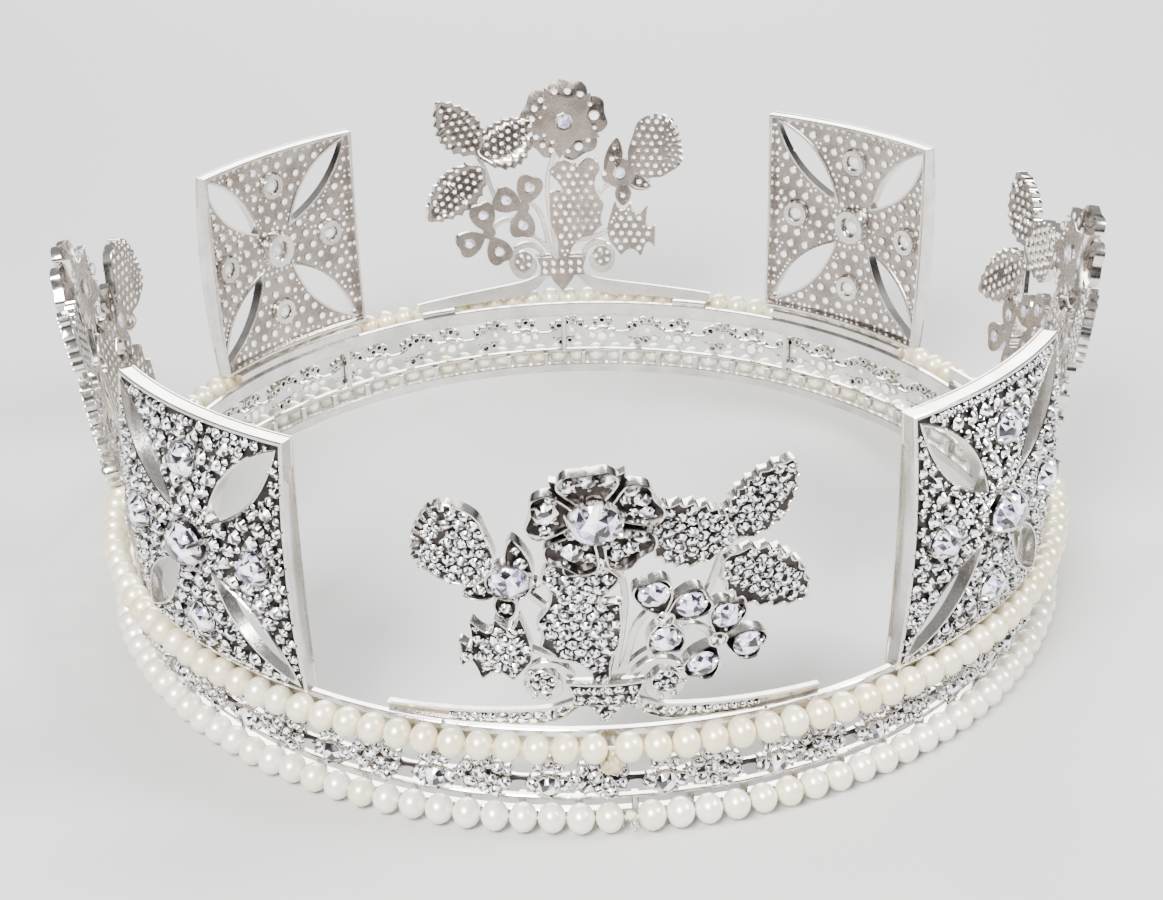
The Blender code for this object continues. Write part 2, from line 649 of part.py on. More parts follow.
def trefoil(places):
    """A shamrock: three heart-shaped leaves round a centre, each holding one raised stone."""
    centre = np.array(places[0])
    half = SPRAY_THICKNESS / 2
    hub = [(turn, 1.0) for turn in range(0, 360, 60)]
    pieces = [plate([polar(centre, hub, TREFOIL_HUB_RADIUS)], -half, half)]
    for stone in places[1:]:
        outward = np.array(stone) - centre
        facing = math.degrees(math.atan2(outward[1], outward[0]))
        inward = np.hypot(*outward) * SPRAY_HEIGHT / TREFOIL_LEAF_RADIUS
        rows = ((0, 0.88), (38, 1.10), (100, 0.96), (180, inward), (260, 0.96), (322, 1.10))
        edge = [(facing + turn, reach) for turn, reach in rows]
        pieces.append(plate([polar(stone, edge, TREFOIL_LEAF_RADIUS)], -half, half))
        at = (stone[0] * SPRAY_HEIGHT, stone[1] * SPRAY_HEIGHT)
        foot = TREFOIL_STONE_DIAMETER / 2
        pieces.append(frustum(at, foot, foot * TABLE_SHARE, 0, half + TREFOIL_STONE_HEIGHT))
    return pieces


def spray():
    """A flower spray, soldered in one: swag bars, collar, finial, scrolls, stems, leaves, thistle, rose
    and two shamrocks."""
    half, stem_half = SPRAY_THICKNESS / 2, STEM_THICKNESS / 2
    flat = [swags(), sized(FINIAL_EDGE), scroll(-1), scroll(1)]
    flat += [toothed_leaf(row, LEAF_TEETH, LEAF_FULLNESS) for row in ROSE_LEAVES]
    flat.append(toothed_leaf(THISTLE_HEAD, HEAD_TEETH, HEAD_FULLNESS))
    flat += [lobed_leaf(BIG_LEAF, BIG_LEAF_EDGE), lobed_leaf(LOW_LEAF, LOW_LEAF_EDGE)]
    flat.append(polar(CALYX_PLACE, CALYX_EDGE, CALYX_RADIUS))
    pieces = [plate([outline], -half, half) for outline in flat]
    pieces.append(plate([sized(COLLAR_EDGE)], -half, COLLAR_THICKNESS - half))
    for points in STEMS:
        outline = ribbon(np.array(points) * SPRAY_HEIGHT, [STEM_WIDTH] * len(points))
        pieces.append(plate([outline], -stem_half, stem_half))
    calyx_middle = (CALYX_PLACE[0] * SPRAY_HEIGHT, CALYX_PLACE[1] * SPRAY_HEIGHT)
    foot = CALYX_STONE_DIAMETER / 2
    pieces.append(frustum(calyx_middle, foot, foot * TABLE_SHARE, 0, half + TREFOIL_STONE_HEIGHT))
    pieces += rose()
    for places in TREFOILS:
        pieces += trefoil(places)
    return bent(joined("spray", pieces), SPRAY_RADIUS, SPRAY_LEVEL, SPRAY_LEAN)


def build_circlet(metal, pearl):
    place("circlet_frame", circlet_frame(), metal)
    place("stone_band", stone_band(), metal)
    pearl_string("upper_pearl_string", UPPER_STRING_RADIUS, UPPER_STRING_LEVEL, pearl)
    pearl_string("lower_pearl_string", LOWER_STRING_RADIUS, LOWER_STRING_LEVEL, pearl)


def build_crosses(metal, crystal):
    mesh = cross()
    centre_stone = cut_stone("centre_stone", CENTRE_STONE_DIAMETER)
    arm_stone = cut_stone("arm_stone", ARM_STONE_DIAMETER)
    middle = CROSS_HEIGHT / 2
    reach = ARM_STONE_DISTANCE
    arms = {"top": (0, reach), "bottom": (0, -reach), "left": (-reach, 0), "right": (reach, 0)}
    for name, azimuth in CROSS_PLACES.items():
        place(f"cross_{name}", mesh, metal, azimuth)
        lift = CENTRE_COLLET_HEIGHT + GAP_WIDTH + cross_bulge(middle, 0.0)
        there = seat(azimuth, CROSS_RADIUS, CROSS_LEVEL, 0, 0, middle, lift)
        place(f"cross_{name}_centre_stone", centre_stone, crystal, matrix=there)
        for arm, (u, v) in arms.items():
            lift = GAP_WIDTH + cross_bulge(middle + v, 0.0)
            there = seat(azimuth, CROSS_RADIUS, CROSS_LEVEL, 0, u, middle + v, lift)
            place(f"cross_{name}_{arm}_stone", arm_stone, crystal, matrix=there)


def build_sprays(metal, crystal):
    mesh = spray()
    rose_stone = cut_stone("rose_stone", ROSE_STONE_DIAMETER)
    u, v = (share * SPRAY_HEIGHT for share in ROSE_PLACE)
    lift = ROSE_RELIEF_DEPTH + 2 * LAP_DEPTH + GAP_WIDTH
    for name, azimuth in SPRAY_PLACES.items():
        place(f"spray_{name}", mesh, metal, azimuth)
        there = seat(azimuth, SPRAY_RADIUS, SPRAY_LEVEL, SPRAY_LEAN, u, v, lift)
        place(f"spray_{name}_rose_stone", rose_stone, crystal, matrix=there)


parts, cutters = start_scene()
plated_metal = finish("plated_metal", (0.62, 0.60, 0.57), 1.0, 0.25)
cut_crystal = finish("cut_crystal", (0.85, 0.86, 0.92), 0.0, 0.05)
ivory_pearl = finish("ivory_pearl", (0.86, 0.82, 0.70), 0.0, 0.30)
build_circlet(plated_metal, ivory_pearl)
build_crosses(plated_metal, cut_crystal)
build_sprays(plated_metal, cut_crystal)
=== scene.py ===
"""Looks of a circlet tiara that stands by itself: a pierced ring with a band of set stones between two
strings of imitation pearls, with four crosses pattee and four flower sprays on its rim.

Metres, +Z up, with the front at -Y. A cross, a spray and the stone band are worked out flat, with u along
the ring, v up and w outward, and are then bent round the ring.
"""

import math

import bmesh
import bpy
import numpy as np
from mathutils import Matrix, Vector


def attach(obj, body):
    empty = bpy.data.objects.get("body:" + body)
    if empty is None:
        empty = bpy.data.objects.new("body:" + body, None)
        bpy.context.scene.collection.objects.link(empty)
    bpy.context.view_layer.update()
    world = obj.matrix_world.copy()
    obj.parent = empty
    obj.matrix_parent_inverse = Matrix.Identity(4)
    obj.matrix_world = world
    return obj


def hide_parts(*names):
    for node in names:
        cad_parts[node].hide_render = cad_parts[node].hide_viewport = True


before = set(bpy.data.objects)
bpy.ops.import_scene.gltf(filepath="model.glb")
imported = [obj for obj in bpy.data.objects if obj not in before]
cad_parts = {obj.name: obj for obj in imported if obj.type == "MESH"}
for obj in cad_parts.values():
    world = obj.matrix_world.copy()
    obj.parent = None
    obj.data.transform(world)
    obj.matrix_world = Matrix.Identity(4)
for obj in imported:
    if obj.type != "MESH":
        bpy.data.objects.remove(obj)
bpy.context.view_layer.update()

# Camera
# It looks down on the tiara from in front, where the reference picture was taken from. Its place and
# turn come from the corners of the crosses and from both strings of pearls.
PICTURE_WIDTH, PICTURE_HEIGHT = 1163, 900
FOCAL_PIXELS = 1894.3
AXIS_ACROSS, AXIS_DOWN = 518.4, 495.3
SENSOR_WIDTH = 36.0
CAMERA_PLACE = Vector((-0.01245, -0.34861, 0.20341))
CAMERA_RIGHT = Vector((0.99918, -0.01800, -0.03633)).normalized()
CAMERA_DOWN = Vector((-0.04052, -0.47761, -0.87764)).normalized()

lens = bpy.data.cameras.new("camera")
lens.sensor_width = SENSOR_WIDTH
lens.lens = FOCAL_PIXELS * SENSOR_WIDTH / PICTURE_WIDTH
lens.shift_x = (PICTURE_WIDTH / 2 - AXIS_ACROSS) / PICTURE_WIDTH
lens.shift_y = (AXIS_DOWN - PICTURE_HEIGHT / 2) / PICTURE_WIDTH
lens.clip_start = 0.01
camera = bpy.data.objects.new("camera", lens)
ahead = CAMERA_RIGHT.cross(CAMERA_DOWN)
camera.matrix_world = Matrix.Translation(CAMERA_PLACE) @ Matrix(
    [(right, -down, -forward) for right, down, forward in zip(CAMERA_RIGHT, CAMERA_DOWN, ahead)]
).to_4x4()
bpy.context.scene.collection.objects.link(camera)
bpy.context.scene.camera = camera


# Table and light
# A plain pale table, with a soft lamp in front at the left, one at the right and a large one behind. The
# room is grey at the table's far edge, dark just above it and white overhead, so that metal shows both.
LAMPS = (
    # name, place, width, watts
    ("lamp_left", (-0.28, -0.60, 0.64), 0.34, 27.0),
    ("lamp_right", (0.60, -0.15, 0.60), 0.26, 12.0),
    ("lamp_back", (0.02, 0.95, 0.52), 0.90, 26.0),
)
ROOM_STRENGTH = 0.38
ROOM_SHADES = (
    # share of the way from straight down to straight up, colour
    (0.00, (0.24, 0.23, 0.22)),
    (0.50, (0.40, 0.40, 0.40)),
    (0.55, (0.07, 0.07, 0.075)),
    (0.60, (0.14, 0.14, 0.15)),
    (0.74, (1.0, 1.0, 1.0)),
)
TABLE_SIDE = 30.0
TABLE_COLOUR = (0.50, 0.495, 0.49, 1.0)


class Link:
    """A socket in a tree of nodes. Sums and products with it add Math nodes."""

    def __init__(self, finish, socket):
        self.finish, self.socket = finish, socket

    def combined(self, operation, first, second):
        return self.finish.node("ShaderNodeMath", {"operation": operation}, {0: first, 1: second})

    def __add__(self, other):
        return self.combined("ADD", self, other)

    def __sub__(self, other):
        return self.combined("SUBTRACT", self, other)

    def __rsub__(self, other):
        return self.combined("SUBTRACT", other, self)

    def __mul__(self, other):
        return self.combined("MULTIPLY", self, other)

    __radd__, __rmul__ = __add__, __mul__


class Finish:
    """A tree of nodes being built, for a material or for the room."""

    def __init__(self, holder):
        holder.use_nodes = True
        self.holder, self.tree = holder, holder.node_tree

    def node(self, kind, settings, sockets, output=0):
        """Adds a node. Its settings come first, then its sockets, each with a value or a link."""
        made = self.tree.nodes.new(kind)
        for key, value in settings.items():
            if key == "stops":
                while len(made.color_ramp.elements) < len(value):
                    made.color_ramp.elements.new(0.5)
                for element, (place, colour) in zip(made.color_ramp.elements, value):
                    element.position = place
                    element.color = (*colour, 1.0)
            else:
                setattr(made, key, value)
        self.feed(made, sockets)
        return Link(self, made.outputs[output])

    def feed(self, made, sockets):
        for key, value in sockets.items():
            if isinstance(value, Link):
                self.tree.links.new(value.socket, made.inputs[key])
            else:
                made.inputs[key].default_value = value

    def place_on_piece(self):
        """The place on the piece, in metres."""
        return self.node("ShaderNodeTexCoord", {}, {}, output=3)

    def face_shade(self):
        """The shade from 0 to 1 that each face keeps: how creamy a pearl is, and a stone facet's painted
        reflection.
        """
        return self.node("ShaderNodeAttribute", {"attribute_name": "shade"}, {}, output=2)

    def surface(self, **sockets):
        """Sets the Principled shader's sockets, with spaces written as underscores."""
        shader = self.tree.nodes["Principled BSDF"]
        self.feed(shader, {key.replace("_", " "): value for key, value in sockets.items()})
        return self.holder


room = Finish(bpy.data.worlds.new("room"))
bpy.context.scene.world = room.holder
facing = room.node("ShaderNodeTexCoord", {}, {})
height = room.node("ShaderNodeSeparateXYZ", {}, {0: facing}, output=2)
colour = room.node("ShaderNodeValToRGB", {"stops": ROOM_SHADES}, {0: height * 0.5 + 0.5})
room.feed(room.tree.nodes["Background"], {"Color": colour, "Strength": ROOM_STRENGTH})

for name, place, width, watts in LAMPS:
    light = bpy.data.lights.new(name, "AREA")
    light.size = width
    light.energy = watts
    lamp = bpy.data.objects.new(name, light)
    lamp.matrix_world = Matrix.Translation(place) @ Vector(place).to_track_quat("Z", "Y").to_matrix().to_4x4()
    bpy.context.scene.collection.objects.link(lamp)

half_side = TABLE_SIDE / 2
table_corners = [(x * half_side, y * half_side, 0) for x, y in ((-1, -1), (1, -1), (1, 1), (-1, 1))]
table_mesh = bpy.data.meshes.new("table")
table_mesh.from_pydata(table_corners, [], [(0, 1, 2, 3)])
table = bpy.data.objects.new("table", table_mesh)
bpy.context.scene.collection.objects.link(table)
paper = Finish(bpy.data.materials.new("pale_table"))
table_mesh.materials.append(paper.surface(Base_Color=TABLE_COLOUR, Roughness=0.75))


# Strings of pearls
# Two closed strings of glass beads with a pearl coat lie round the ring, below and above the stone band.
# Their cream thread is tied at the front: the upper string's in a drop of glue, the lower one's frayed.
PEARL_HEIGHT = 0.0054
PEARL_SIDES, PEARL_RINGS = 16, 9
STRINGS = (
    # node, radius, level, pitch, length, knot's place in degrees, gap at the knot, how creamy
    ("lower_pearl_string", 0.0950, 0.00306, 0.00486, 0.00484, 272.3, 0.0023, 0.15),
    ("upper_pearl_string", 0.0957, 0.01795, 0.00477, 0.00475, 270.4, 0.0010, 0.60),
)
PEARL_LEAST, PEARL_MOST = 0.975, 1.01
PEARL_RISE, PEARL_SHIFT, PEARL_TURN, CREAM_SPREAD = 0.00006, 0.00008, 0.05, 0.16
THREAD_RADIUS, THREAD_SIDES, THREAD_STATIONS = 0.00035, 6, 240
PEARL_TINTS = ((0.0, (0.90, 0.88, 0.80)), (0.5, (0.88, 0.81, 0.60)), (1.0, (0.84, 0.73, 0.46)))
THREAD_TINTS = ((0.3, (0.50, 0.44, 0.32)), (0.7, (0.80, 0.75, 0.62)))
GLUE_TINTS = ((0.3, (0.34, 0.28, 0.13)), (0.7, (0.62, 0.54, 0.32)))
LUMP_RINGS, LUMP_SIDES = 15, 20
LUMP_WAVES, LUMP_RIPPLE, LUMP_RELIEF = 6, 2.2, 0.07
STRAND_STATIONS, STRAND_SIDES, STRAND_WAVE, STRAND_FLATNESS = 16, 6, 0.00022, 0.7
KNOT_LUMPS = (
    # place, size, seed
    ((0.0001, -0.0038, -0.0008), (0.0019, 0.0017, 0.0013), 3),
    ((0.0001, -0.0021, -0.0006), (0.0010, 0.0014, 0.0010), 4),
)
KNOT_STRANDS = (
    # start, end
    ((-0.0006, -0.0010, 0.0), (0.0012, -0.0052, -0.0004)),
    ((0.0005, -0.0008, 0.0), (-0.0012, -0.0050, -0.0002)),
    ((0.0, -0.0012, 0.0004), (0.0020, -0.0044, -0.0003)),
)
KNOT_STRAND_RADIUS = 0.00022
FRAYED_LUMP = ((-0.0001, 0.0003, 0.0), (0.0009, 0.0007, 0.0008), 9)
FRAYED_STRANDS, FRAYED_RADIUS, FRAYED_SAG, FRAYED_SEED = 14, 0.00011, 0.0002, 20
FRAYED_START, FRAYED_REACH = (0.0004, 0.0004, 0.0002), (0.0007, 0.0006, 0.0004)
FRAYED_LEAN = (0.0, -0.0004, 0.0010)
MERGE_WIDTH = 2e-7
SHARP_ANGLE = math.radians(34)
chance = np.random.default_rng(5)


def grid_faces(rows, columns, rows_close=False, columns_close=False):
    """Quads between the points of a grid, where a closed way joins its last line to its first."""
    row = np.arange(rows if rows_close else rows - 1)[:, None]
    column = np.arange(columns if columns_close else columns - 1)[None, :]
    below, beside = (row + 1) % rows, (column + 1) % columns
    here, there = row * columns, below * columns
    corners = (here + column, here + beside, there + beside, there + column)
    return np.stack(np.broadcast_arrays(*corners), axis=-1).reshape(-1, 4)


class Shape:
    """Points and faces that grow form by form into one mesh. A face keeps its material's place, its shade
    from 0 to 1, which on stones is a facet's painted reflection, and whether it is smooth."""

    def __init__(self):
        self.points, self.groups, self.count = [], [], 0

    def add(self, points, faces, place=0, shade=0.5, smooth=True):
        """Adds a closed form. It is turned right side out, by the sign of its volume."""
        points = np.asarray(points, float).reshape(-1, 3)
        first, second, third = (points[faces[:, corner]] for corner in range(3))
        volume = (np.cross(first, second) * third).sum()
        if faces.shape[1] == 4:
            volume += (np.cross(first, third) * points[faces[:, 3]]).sum()
        faces = faces if volume > 0 else faces[:, ::-1]
        facts = [np.broadcast_to(np.asarray(value, float), len(faces)) for value in (place, shade, smooth)]
        self.points.append(points)
        self.groups.append((faces + self.count, *facts))
        self.count += len(points)

    def bend(self, radius, level, lean=0.0, swell=None):
        """Bends everything so far round the ring: u / radius is the turn, and v leans outward."""
        u, v, w = np.concatenate(self.points).T
        if swell is not None:
            w = w + swell(v, w)
        out = radius + v * math.sin(lean) + w * math.cos(lean)
        up = level + v * math.cos(lean) - w * math.sin(lean)
        self.points = [np.column_stack([out * np.cos(u / radius), out * np.sin(u / radius), up])]

    def piece(self, name, materials, slot, nodes=(), turn=0.0):
        """Makes the object, turned round the ring by so many degrees, that stands for these nodes."""
        c, s = math.cos(math.radians(turn)), math.sin(math.radians(turn))
        points = np.concatenate(self.points) @ np.array([(c, s, 0), (-s, c, 0), (0, 0, 1)])
        sides = np.concatenate([np.full(len(faces), faces.shape[1]) for faces, *_ in self.groups])
        facts = zip(*(group[1:] for group in self.groups))
        places, shades, smooths = (np.concatenate(fact) for fact in facts)
        mesh = bpy.data.meshes.new(name)
        mesh.vertices.add(len(points))
        mesh.vertices.foreach_set("co", points.ravel())
        mesh.loops.add(int(sides.sum()))
        mesh.loops.foreach_set("vertex_index", np.concatenate([faces.ravel() for faces, *_ in self.groups]))
        mesh.polygons.add(len(sides))
        mesh.polygons.foreach_set("loop_start", np.concatenate([[0], np.cumsum(sides)[:-1]]))
        mesh.polygons.foreach_set("material_index", places.astype(int))
        mesh.polygons.foreach_set("use_smooth", smooths.astype(bool))
        mesh.update(calc_edges=True)
        mesh.attributes.new("shade", "FLOAT", "FACE").data.foreach_set("value", shades.astype(np.float32))
        for material in materials:
            mesh.materials.append(material)
        merged = bmesh.new()
        merged.from_mesh(mesh)
        bmesh.ops.remove_doubles(merged, verts=merged.verts, dist=MERGE_WIDTH)
        bmesh.ops.dissolve_degenerate(merged, edges=merged.edges, dist=MERGE_WIDTH)
        merged.to_mesh(mesh)
        merged.free()
        mesh.set_sharp_from_angle(angle=SHARP_ANGLE)
        thing = bpy.data.objects.new(name, mesh)
        bpy.context.scene.collection.objects.link(thing)
        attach(thing, "root")
        if nodes:
            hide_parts(*nodes)
        return thing


def repeated(points, faces, at, size, turns=None):
    """Copies of a small form, each scaled by its size, turned about w and moved to its place."""
    size = np.broadcast_to(np.asarray(size, float), len(at))
    copies = points[None] * size[:, None, None]
    if turns is not None:
        c, s = np.cos(turns)[:, None], np.sin(turns)[:, None]
        x, y, z = np.moveaxis(copies, -1, 0)
        copies = np.stack([x * c - y * s, x * s + y * c, z], axis=-1)
    copies = copies + np.asarray(at)[:, None]
    steps = np.arange(len(at))[:, None, None] * len(points)
    return copies.reshape(-1, 3), (faces[None] + steps).reshape(-1, faces.shape[1])


def swept(sections, loop=False):
    """A closed skin over rings of points that follow one another. Open ends close to their middles."""
    if not loop:
        middles = np.broadcast_to(sections.mean(axis=1, keepdims=True), sections.shape)
        sections = np.concatenate([middles[:1], sections, middles[-1:]])
    rows, columns = sections.shape[:2]
    return sections.reshape(-1, 3), grid_faces(rows, columns, rows_close=loop, columns_close=True)


def pearl():
    """A bead of unit height about the x axis: x = cos a, and the ring there is sin a across."""
    along = np.linspace(0, np.pi, PEARL_RINGS)[:, None]
    around = np.arange(PEARL_SIDES)[None, :] * 2 * np.pi / PEARL_SIDES
    axes = (np.cos(along), np.sin(along) * np.cos(around), np.sin(along) * np.sin(around))
    points = np.stack(np.broadcast_arrays(*axes), axis=-1)
    return points.reshape(-1, 3) / 2, grid_faces(PEARL_RINGS, PEARL_SIDES, columns_close=True)


coat = Finish(bpy.data.materials.new("pearl_coat"))
spot = coat.place_on_piece()
cloud = coat.node("ShaderNodeTexNoise", {}, {"Vector": spot, "Scale": 420.0, "Detail": 3.0})
grain = coat.node("ShaderNodeTexNoise", {}, {"Vector": spot, "Scale": 5200.0, "Detail": 2.0})
cream = coat.face_shade() + cloud * 0.24 - 0.12
pearl_coat = coat.surface(
    Base_Color=coat.node("ShaderNodeValToRGB", {"stops": PEARL_TINTS}, {0: cream}),
    Metallic=0.35,
    Roughness=cloud * 0.16 + 0.26,
    Coat_Weight=0.55,
    Coat_Roughness=0.12,
    Normal=coat.node("ShaderNodeBump", {}, {"Strength": 0.06, "Distance": 0.0002, "Height": grain}),
)
cotton = Finish(bpy.data.materials.new("cream_thread"))
spot = cotton.place_on_piece()
fuzz = cotton.node("ShaderNodeTexNoise", {}, {"Vector": spot, "Scale": 3000.0, "Detail": 4.0})
tint = cotton.node("ShaderNodeValToRGB", {"stops": THREAD_TINTS}, {0: fuzz})
cream_thread = cotton.surface(Base_Color=tint, Roughness=0.85)
glue = Finish(bpy.data.materials.new("clear_glue"))
cloud = glue.node("ShaderNodeTexNoise", {}, {"Vector": glue.place_on_piece(), "Scale": 700.0, "Detail": 3.0})
tint = glue.node("ShaderNodeValToRGB", {"stops": GLUE_TINTS}, {0: cloud})
clear_glue = glue.surface(Base_Color=tint, Roughness=cloud * 0.2 + 0.1, Coat_Weight=0.8)

for node, radius, level, pitch, length, knot, gap, creamy in STRINGS:
    count = round((2 * np.pi * radius - gap) / pitch)
    pitch = (2 * np.pi * radius - gap) / count
    places = gap / 2 + (np.arange(count) + 0.5) * pitch
    points, faces = pearl()
    size = PEARL_HEIGHT * chance.uniform(PEARL_LEAST, PEARL_MOST, count)
    at = np.column_stack([places, chance.normal(0, PEARL_RISE, count), chance.normal(0, PEARL_SHIFT, count)])
    points = points * (length / PEARL_HEIGHT, 1, 1)
    copies, joined_faces = repeated(points, faces, at, size, chance.normal(0, PEARL_TURN, count))
    string = Shape()
    shade = np.repeat(np.clip(creamy + chance.normal(0, CREAM_SPREAD, count), 0, 1), len(faces))
    string.add(copies, joined_faces, shade=shade)
    along = np.linspace(0, 2 * np.pi * radius, THREAD_STATIONS, endpoint=False)[:, None]
    around = np.arange(THREAD_SIDES)[None, :] * 2 * np.pi / THREAD_SIDES
    axes = (along, THREAD_RADIUS * np.cos(around), THREAD_RADIUS * np.sin(around))
    string.add(*swept(np.stack(np.broadcast_arrays(*axes), axis=-1), loop=True), place=1)
    string.bend(radius, level)
    string.piece(f"{node}_beads", [pearl_coat, cream_thread], "ivory_pearl", [node], turn=knot)


def lump(at, size, seed):
    """A lumpy closed form: a sphere whose reach is changed by a few waves of random turn."""
    own = np.random.default_rng(seed)
    fall = np.linspace(0, np.pi, LUMP_RINGS)[:, None]
    around = np.arange(LUMP_SIDES)[None, :] * 2 * np.pi / LUMP_SIDES
    axes = (np.sin(fall) * np.cos(around), np.sin(fall) * np.sin(around), np.cos(fall))
    away = np.stack(np.broadcast_arrays(*axes), axis=-1)
    reach = 1.0
    for way, start in zip(own.normal(0, LUMP_RIPPLE, (LUMP_WAVES, 3)), own.uniform(0, 6, LUMP_WAVES)):
        reach = reach + LUMP_RELIEF * np.sin(away @ way + start)
    points = away * reach[..., None] * size + at
    return points.reshape(-1, 3), grid_faces(LUMP_RINGS, LUMP_SIDES, columns_close=True)


def strand(start, end, sag, thick, seed):
    """A thread: a closed tube along a straight line between two points, with a sine wave and a sag added."""
    own = np.random.default_rng(seed)
    share = np.linspace(0, 1, STRAND_STATIONS)[:, None]
    wave = np.sin(share * own.uniform(3, 8, 3) + own.uniform(0, 6, 3)) * STRAND_WAVE
    sagged = np.array((0, sag, 0)) * share * (1 - share) * 4
    path = np.array(start) * (1 - share) + np.array(end) * share + wave - sagged
    around = np.arange(STRAND_SIDES) * 2 * np.pi / STRAND_SIDES
    section = np.column_stack([np.cos(around) * STRAND_FLATNESS, np.cos(around), np.sin(around)]) * thick
    return swept(path[:, None] + section[None])


def tie(shape, name, materials, string):
    """Bends a knot, laid flat, onto its string and makes its piece."""
    _, radius, level, _, _, knot, _, _ = string
    shape.bend(radius, level)
    shape.piece(name, materials, "ivory_pearl", turn=knot)


lower_string, upper_string = STRINGS
knots = Shape()
for place, size, seed in KNOT_LUMPS:
    knots.add(*lump(place, size, seed), place=1)
for seed, (start, end) in enumerate(KNOT_STRANDS):
    knots.add(*strand(start, end, 0.0, KNOT_STRAND_RADIUS, seed))
tie(knots, "upper_string_knot", [cream_thread, clear_glue], upper_string)
ends = Shape()
ends.add(*lump(*FRAYED_LUMP))
own = np.random.default_rng(11)
for seed in range(FRAYED_SEED, FRAYED_SEED + FRAYED_STRANDS):
    start = own.normal(0, FRAYED_START)
    end = start + own.normal(0, FRAYED_REACH) + FRAYED_LEAN
    ends.add(*strand(start, end, FRAYED_SAG, FRAYED_RADIUS, seed))
tie(ends, "lower_string_ends", [cream_thread], lower_string)


# Circlet frame
# A ring cast in white metal and plated bright: a base strip, a row of windows parted by posts, a sill wire,
# stays, and a top rail with the steps that the crosses and swags stand on. All is soldered into one.
INNER_RADIUS = 0.0902
RING_STATIONS = 240
RAILS = (
    # near and far side from the inner radius, low, high
    (0.0000, 0.0016, 0.0000, 0.0022),
    (0.0012, 0.0024, 0.0050, 0.0057),
    (0.0000, 0.0032, 0.0153, 0.0161),
    (0.0000, 0.0013, 0.0157, 0.0187),
)
UPRIGHTS = (
    # count, thickness, width, low, high
    (60, 0.0014, 0.0012, 0.0020, 0.0052),
    (10, 0.0013, 0.0012, 0.0054, 0.0155),
)
STEP_INSET, STEP_WIDTH, STEP_LOW = 0.0008, 0.0018, 0.0180
CROSS_STEP_TOP, CROSS_STEP_REACH, CROSS_STEP_STATIONS = 0.02075, 11.45, 16
SWAG_STEP_TOP, SWAG_STEP_START, SWAG_STEP_END, SWAG_STEP_STATIONS = 0.0195, 17.2, 22.3, 6
EDGE_CUT = 0.00018
CROSS_TURNS = {"front_left": 225, "front_right": 315, "back_right": 45, "back_left": 135}
SPRAY_TURNS = {"front": 270, "right": 0, "back": 90, "left": 180}


def bevelled(near, far, low, high, cut=EDGE_CUT):
    """The corners of a rectangle with its own corners cut off. Its sides may be arrays, one per station."""
    near, far, low, high = np.broadcast_arrays(*(np.atleast_1d(side) for side in (near, far, low, high)))
    across = (near + cut, far - cut, far, far, far - cut, near + cut, near, near)
    up = (low, low, low + cut, high - cut, high, high, high - cut, low + cut)
    return np.stack([np.stack(across, axis=-1), np.stack(up, axis=-1)], axis=-1)


def hoop(near, far, low, high, start=0.0, end=360.0, stations=RING_STATIONS):
    """A bar of bevelled section that runs round the ring's axis, from one turn to another in degrees."""
    whole = end - start == 360.0
    turns = np.radians(np.linspace(start, end, stations, endpoint=not whole))[:, None]
    out, up = np.moveaxis(bevelled(near, far, low, high), -1, 0)
    axes = (out * np.cos(turns), out * np.sin(turns), up)
    return swept(np.stack(np.broadcast_arrays(*axes), axis=-1), loop=whole)


def metal(name, light, dark, low, high):
    """A plated metal between two colours and two roughnesses, with faint casting grain and dulled patches."""
    plating = Finish(bpy.data.materials.new(name))
    where = plating.place_on_piece()
    patches = plating.node("ShaderNodeTexNoise", {}, {"Vector": where, "Scale": 160.0, "Detail": 4.0})
    grains = plating.node("ShaderNodeTexNoise", {}, {"Vector": where, "Scale": 1900.0, "Detail": 3.0})
    stops = ((0.35, dark), (0.62, light))
    return plating.surface(
        Base_Color=plating.node("ShaderNodeValToRGB", {"stops": stops}, {0: patches * 0.7 + grains * 0.3}),
        Metallic=1.0,
        Roughness=grains * (high - low) + low,
        Normal=plating.node("ShaderNodeBump", {}, {"Strength": 0.12, "Distance": 0.0001, "Height": grains}),
    )


bright_plating = metal("bright_plating", (0.86, 0.835, 0.80), (0.60, 0.565, 0.53), 0.06, 0.26)

ring = Shape()
for near, far, low, high in RAILS:
    ring.add(*hoop(INNER_RADIUS + near, INNER_RADIUS + far, low, high))
for count, thickness, width, low, high in UPRIGHTS:
    near = INNER_RADIUS + EDGE_CUT / 2
    corners = bevelled(near, near + thickness, -width / 2, width / 2)[0]
    sections = np.stack([np.column_stack([corners, np.full(len(corners), level)]) for level in (low, high)])
    turns = np.radians((np.arange(count) + 0.5) * 360 / count)
    ring.add(*repeated(*swept(sections), np.zeros((count, 3)), 1.0, turns))
step_in, step_out = INNER_RADIUS + STEP_INSET, INNER_RADIUS + STEP_INSET + STEP_WIDTH
for turn in CROSS_TURNS.values():
    reach = (turn - CROSS_STEP_REACH, turn + CROSS_STEP_REACH)
    ring.add(*hoop(step_in, step_out, STEP_LOW, CROSS_STEP_TOP, *reach, CROSS_STEP_STATIONS))
for turn in SPRAY_TURNS.values():
    for start, end in ((-SWAG_STEP_END, -SWAG_STEP_START), (SWAG_STEP_START, SWAG_STEP_END)):
        reach = (turn + start, turn + end)
        ring.add(*hoop(step_in, step_out, STEP_LOW, SWAG_STEP_TOP, *reach, SWAG_STEP_STATIONS))
ring.piece("circlet_ring", [bright_plating], "plated_metal", ["circlet_frame"])


